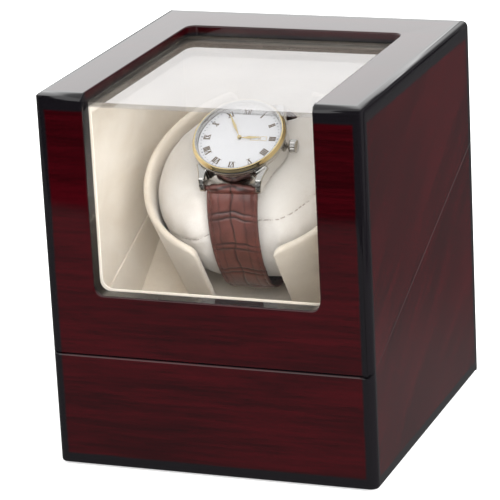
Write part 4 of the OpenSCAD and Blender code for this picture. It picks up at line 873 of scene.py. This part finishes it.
def makeCrown():
    r, long = watch["crownR"], watch["crownL"]
    profile = [(0, 0), (r - 0.5, 0), (r - 0.1, 0.25), (r, 0.6), (r, long - 0.7),
               (r - 0.2, long - 0.3), (r - 0.9, long), (0, long + 0.15)]
    place = (onWatch @ Matrix.Translation(spot(watch["crownX"], 0, watch["crownZ"]))
             @ Matrix.Rotation(math.radians(90), 4, "Y"))
    crown = spun("fluted_crown", profile, 96)
    # flutes for the fingers
    for vert in crown.data.vertices:
        if vert.co.xy.length > (r - 0.3) * mm:
            angle = math.atan2(vert.co.y, vert.co.x)
            vert.co.xy *= 1 - watch["flute"] * (1 - math.cos(watch["flutes"] * angle)) / 2
    crown.data.transform(place)
    sharpen(crown, 50)
    paint(crown, steel)
    return stand(crown, "crown", "watch_steel", "watch_crown")


def makeWatch():
    makeCase()
    makeCrown()
    paint(nodes["watch_dial"], dialWhite())
    makeBezel()
    makeCrystal()
    makeDialMarks()
    makeHand("gold_hour_hand", "watch_hour_hand", "hour_hand", watch["hourHand"])
    makeHand("gold_minute_hand", "watch_minute_hand", "minute_hand", watch["minuteHand"])


makeWatch()
print("stage: watch made")


# the strap

strap = {
    "half": 37.6, "rise": 41, "drop": 28.5, "mid": 38, "square": 0.78,   # its loop round the pillow
    "width": 22.6, "narrow": 20.2, "taper": 62, "thick": 2.4, "bodyShare": 0.8,
    "edgeDrop": 0.6, "edgeRound": 0.7,
    "lugReach": 21.8, "barZ": 72.2, "barWrap": 1.5, "startIn": 1.3, "step": 0.5, "columns": 54,
    "padHigh": 0.9, "padReach": 26, "padLeast": 0.25, "sunk": 0.35,
    "stitchIn": 1.7, "stitchPitch": 2.9, "stitchFrom": 6, "stitchSunk": 0.62,
    "stitch": (0.5, 2.1, 0.5), "trench": 0.35, "trenchWidth": 0.45,
    "groove": 0.5, "platePitch": 14.0, "creaseGap": 2.6, "creaseWidth": 0.42,
    "midCrease": 0.8, "sideCrease": 0.38, "longCrease": 0.36, "sideFrom": 5.6,
    "brown": srgb(100, 55, 47), "deep": srgb(46, 23, 21), "thread": srgb(78, 44, 38),
    "crease": srgb(26, 12, 11),
}


def loopPoint(angle):
    # a point of the strap's loop in the watch's upright plane, squarer below than above
    below = math.sin(angle) < 0
    power = strap["square"] if below else 1.0
    tall = strap["drop"] if below else strap["rise"]
    c, s = math.cos(angle), math.sin(angle)
    along = math.copysign(abs(c) ** power, c) * strap["half"]
    up = math.copysign(abs(s) ** power, s) * tall
    return along, strap["mid"] + up


def strapLine():
    # the strap's outer face from the front spring bar, under the pillow, to the back one
    start = math.acos(strap["lugReach"] / (strap["half"] - strap["startIn"]))
    first, last = math.pi - start, 2 * math.pi + start
    line = [loopPoint(first + (last - first) * k / 900) for k in range(901)]
    # round the bar itself, down to where the loop begins
    r, reach = strap["barWrap"], strap["lugReach"]
    turns = [math.radians(d) for d in range(60, -75, -9)]
    head = [(r * math.sin(a) - reach, strap["barZ"] + r * math.cos(a)) for a in turns]
    head = [(y, z) for y, z in head if z > line[0][1] - 0.6 or y > line[0][0]]
    tail = [(-y, z) for y, z in reversed(head)]
    return evened(head + line + tail, strap["step"])


def evened(points, step):
    # the same line with points at equal distances, each with the distance run
    total, runs = 0.0, [0.0]
    for a, b in zip(points, points[1:]):
        total += math.dist(a, b)
        runs.append(total)
    count = int(total / step)
    out, index = [], 0
    for k in range(count + 1):
        want = total * k / count
        while index < len(runs) - 2 and runs[index + 1] < want:
            index += 1
        share = (want - runs[index]) / max(runs[index + 1] - runs[index], 1e-9)
        a, b = points[index], points[index + 1]
        out.append((a[0] + (b[0] - a[0]) * share, a[1] + (b[1] - a[1]) * share, want))
    return out


def halfWidth(run, total):
    # the strap narrows away from the watch
    share = min(min(run, total - run) / strap["taper"], 1.0)
    return (strap["width"] + (strap["narrow"] - strap["width"]) * share) / 2


def scaleRelief(u, run, total):
    # grooves between the scales: square plates down the middle, small ones at the edges
    run = min(run, total - run)
    pitch = strap["platePitch"]
    bowed = run + 0.9 * math.cos(u * 0.3) + 0.7 * noise.noise((u * 0.3, run * 0.12, 3))
    # two creases lie close together between the long plates
    across = min(abs((bowed - shift) / pitch - round((bowed - shift) / pitch)) * pitch
                 for shift in (0, strap["creaseGap"]))
    wander = 0.5 * math.sin(run * 0.33) + 0.6 * noise.noise((run * 0.2, 1, 5))
    inner = abs(abs(u) - strap["sideFrom"] - 0.5 * noise.noise((run * 0.3, math.copysign(4, u), 9)))
    reach = 1 - 0.5 * max(0, (abs(u) - 5) / 5)
    wide = strap["longCrease"]
    return max(reach * math.exp(-(across / strap["creaseWidth"]) ** 2),
               strap["midCrease"] * math.exp(-((u - wander) / wide) ** 2),
               strap["sideCrease"] * math.exp(-(inner / wide) ** 2))


def padRise(u, run, total):
    # how far the padding lifts the strap's face: most beside the watch, nothing at its edges
    fromEnd = min(run, total - run)
    padding = strap["padHigh"] * math.exp(-(fromEnd / strap["padReach"]) ** 2) + strap["padLeast"]
    return padding * (1 - abs(u / halfWidth(run, total)) ** 4)


def strapFrame(line, index):
    # the way out of the strap's face at a point of its line, and how far it leans there
    before, after = line[max(index - 1, 0)], line[min(index + 1, len(line) - 1)]
    along, up = after[0] - before[0], after[1] - before[1]
    return Vector((0, -up, along)).normalized() * -1, math.atan2(up, along)


def makeStrap():
    line = strapLine()
    total = line[-1][2]
    bm = bmesh.new()
    bmesh.ops.create_grid(bm, x_segments=strap["columns"], y_segments=len(line) - 1, size=0.5)
    groove = bm.verts.layers.float.new("groove")
    for vert in bm.verts:
        index = round((vert.co.y + 0.5) * (len(line) - 1))
        y, z, run = line[index]
        half = halfWidth(run, total)
        u = vert.co.x * 2 * half
        out = strapFrame(line, index)[0]
        fromSide = half - abs(u)
        edge = strap["edgeDrop"] * max(0, 1 - fromSide / strap["edgeRound"]) ** 2
        beside = (fromSide - strap["stitchIn"]) / strap["trenchWidth"]
        trench = strap["trench"] * math.exp(-beside ** 2)
        depth = scaleRelief(u, run, total)
        vert[groove] = depth
        rise = padRise(u, run, total) - edge - trench - strap["groove"] * depth - strap["sunk"]
        vert.co = onWatch @ (spot(u, y, z) + out * rise * mm)
    leather = fromBmesh("croc_strap", bm)
    body = leather.modifiers.new("thickness", "SOLIDIFY")
    body.thickness = strap["thick"] * strap["bodyShare"] * mm
    body.offset = -1
    applyModifiers(leather)
    leather.data.shade_smooth()
    paint(leather, crocLeather())
    stand(leather, "turntable", "strap_leather", "watch_strap")
    makeStitches(line, total)
    return leather


def crocLeather():
    material, tree, shader, coords = startMaterial(
        "crocLeather", Specular_IOR_Level=0.5, Coat_Weight=0.7, Coat_Roughness=0.16)
    groove = addNode(tree, "Attribute", attribute_name="groove").outputs["Fac"]
    clouds = noiseOf(tree, coords, 130.0, 4)
    wrinkles = noiseOf(tree, coords, 1500.0, 4, 0.65)
    cloudy = smoothStep(tree, clouds, 0.35, 0.65, 0.0, 0.45)
    tone = blendColor(tree, cloudy, strap["brown"], strap["deep"])
    creased = compute(tree, "MULTIPLY", groove, 1.1, clamp=True)
    tree.links.new(blendColor(tree, creased, tone, strap["crease"]), shader.inputs["Base Color"])
    tree.links.new(smoothStep(tree, wrinkles, 0.3, 0.7, 0.3, 0.48), shader.inputs["Roughness"])
    bumpFrom(tree, shader, wrinkles, 0.05 * mm)
    return material


def makeStitches(line, total):
    bm = bmesh.new()
    shape = Matrix.Diagonal([side * mm for side in strap["stitch"]] + [1])
    for k in range(int((total - 2 * strap["stitchFrom"]) / strap["stitchPitch"])):
        run = strap["stitchFrom"] + k * strap["stitchPitch"]
        index = min(range(len(line)), key=lambda i: abs(line[i][2] - run))
        y, z, _ = line[index]
        out, lean = strapFrame(line, index)
        half = halfWidth(run, total)
        for u in (strap["stitchIn"] - half, half - strap["stitchIn"]):
            rise = padRise(u, run, total) - strap["stitchSunk"]
            place = (onWatch @ Matrix.Translation(spot(u, y, z) + out * rise * mm)
                     @ Matrix.Rotation(lean, 4, "X") @ shape)
            made = bmesh.ops.create_icosphere(bm, subdivisions=1, radius=0.5)["verts"]
            bmesh.ops.transform(bm, matrix=place, verts=made)
    thread = fromBmesh("strap_stitches", bm)
    paint(thread, madeSurface("waxedThread", strap["thread"], 0.6, 0.0, 0.15, 0.15, 0.02))
    stand(thread, "turntable", "strap_leather")


makeStrap()
print("stage: strap made")


# stage: floor, light and what the lacquer mirrors

studio = {
    "floor": 0.86, "sky": 1.3, "mirrorSky": 1.8, "mirrorFloor": 0.18,
    # power, size, place and aim of each lamp, in watts and metres
    "keyLight": (20.5, (1.2, 0.9), (0.75, -1.1, 0.68), (0, 0, 0.1)),
    "sideLight": (13.0, (0.8, 0.5), (1.2, 0.1, 0.3), (0.07, 0, 0.08)),
}


def sheet(name, size, place):
    bm = bmesh.new()
    bmesh.ops.create_grid(bm, x_segments=1, y_segments=1, size=size)
    bmesh.ops.translate(bm, verts=bm.verts, vec=place)
    return keepMesh(name, bm)


def makeFloor():
    floor = sheet("floor", 6, (0, 2, 0))
    material, tree, shader, coords = startMaterial(
        "paleFloor", Roughness=0.8, Specular_IOR_Level=0.1, Emission_Strength=0.55)
    pale = (studio["floor"],) * 3 + (1,)
    parts = useGroup(tree, fineSurface, {
        "Vector": coords, "Color": pale, "Grain Size": 2.0, "Shade": 0.005, "Roughness": 0.8})
    tree.links.new(parts["Color"], shader.inputs["Base Color"])
    tree.links.new(parts["Color"], shader.inputs["Emission Color"])
    paint(floor, material)
    floor.visible_glossy = False


def makeTableMirror():
    # what the lacquer mirrors of the table: pale near the box, dark past its front edge
    table = sheet("table_mirror", 3, (0, 0, -0.0005))
    material = bpy.data.materials.new("tableMirror")
    material.use_nodes = True
    tree = material.node_tree
    tree.nodes.clear()
    coords = tree.nodes.new("ShaderNodeTexCoord").outputs["Object"]
    axes = addNode(tree, "SeparateXYZ", {0: coords}).outputs
    near = smoothStep(tree, axes[1], -0.435, -0.405, 0.01, studio["mirrorFloor"])
    lit = compute(tree, "MULTIPLY", near, smoothStep(tree, axes[1], 0.04, 0.22, 1.0, 0.6))
    glow = addNode(tree, "Emission", {"Strength": lit})
    end = addNode(tree, "OutputMaterial", {"Surface": glow.outputs[0]})
    end.is_active_output = True
    paint(table, material)
    table.visible_camera = False
    table.visible_diffuse = False
    table.visible_shadow = False


def areaLight(name, energy, size, place, target):
    data = bpy.data.lights.new(name, "AREA")
    data.energy = energy
    data.shape = "RECTANGLE"
    data.size, data.size_y = size
    lamp = bpy.data.objects.new(name, data)
    scene.collection.objects.link(lamp)
    aim = Vector(target) - Vector(place)
    facing = aim.to_track_quat("-Z", "Y").to_matrix().to_4x4()
    lamp.matrix_world = Matrix.Translation(Vector(place)) @ facing
    lamp.visible_glossy = False


def makeWorld():
    world = bpy.data.worlds.new("studio")
    scene.world = world
    world.use_nodes = True
    tree = world.node_tree
    tree.nodes.clear()
    direction = tree.nodes.new("ShaderNodeTexCoord").outputs["Generated"]
    axes = addNode(tree, "SeparateXYZ", {0: direction}).outputs
    # a bright tent overhead that falls off towards the horizon
    tent = smoothStep(tree, axes[2], 0.03, 0.16, 0.1, studio["mirrorSky"])
    high = smoothStep(tree, axes[2], 0.55, 0.75, 1.0, 0.55)
    path = tree.nodes.new("ShaderNodeLightPath").outputs
    # the tent stands to the left and overhead; low on the right the room is dark
    aside = smoothStep(tree, axes[0], -0.05, 0.18, 0.0, 1.0)
    below = smoothStep(tree, axes[2], 0.35, 0.6, 1.0, 0.0)
    darker = smoothStep(tree, compute(tree, "MULTIPLY", aside, below), 0.0, 1.0, 1.0, 0.12)
    mirrored = compute(tree, "MULTIPLY", compute(tree, "MULTIPLY", tent, high), darker)
    plainSky = smoothStep(tree, axes[2], -0.3, 0.6, studio["sky"] * 0.55, studio["sky"])
    strength = addNode(tree, "Mix", {0: path["Is Glossy Ray"], 2: plainSky, 3: mirrored}).outputs[0]
    background = addNode(tree, "Background", {"Color": (1, 1, 1, 1), "Strength": strength})
    end = addNode(tree, "OutputWorld", {"Surface": background.outputs[0]})
    end.is_active_output = True


makeFloor()
makeTableMirror()
makeWorld()
for lampName in ("keyLight", "sideLight"):
    areaLight(lampName, *studio[lampName])
print("stage: floor and light set")
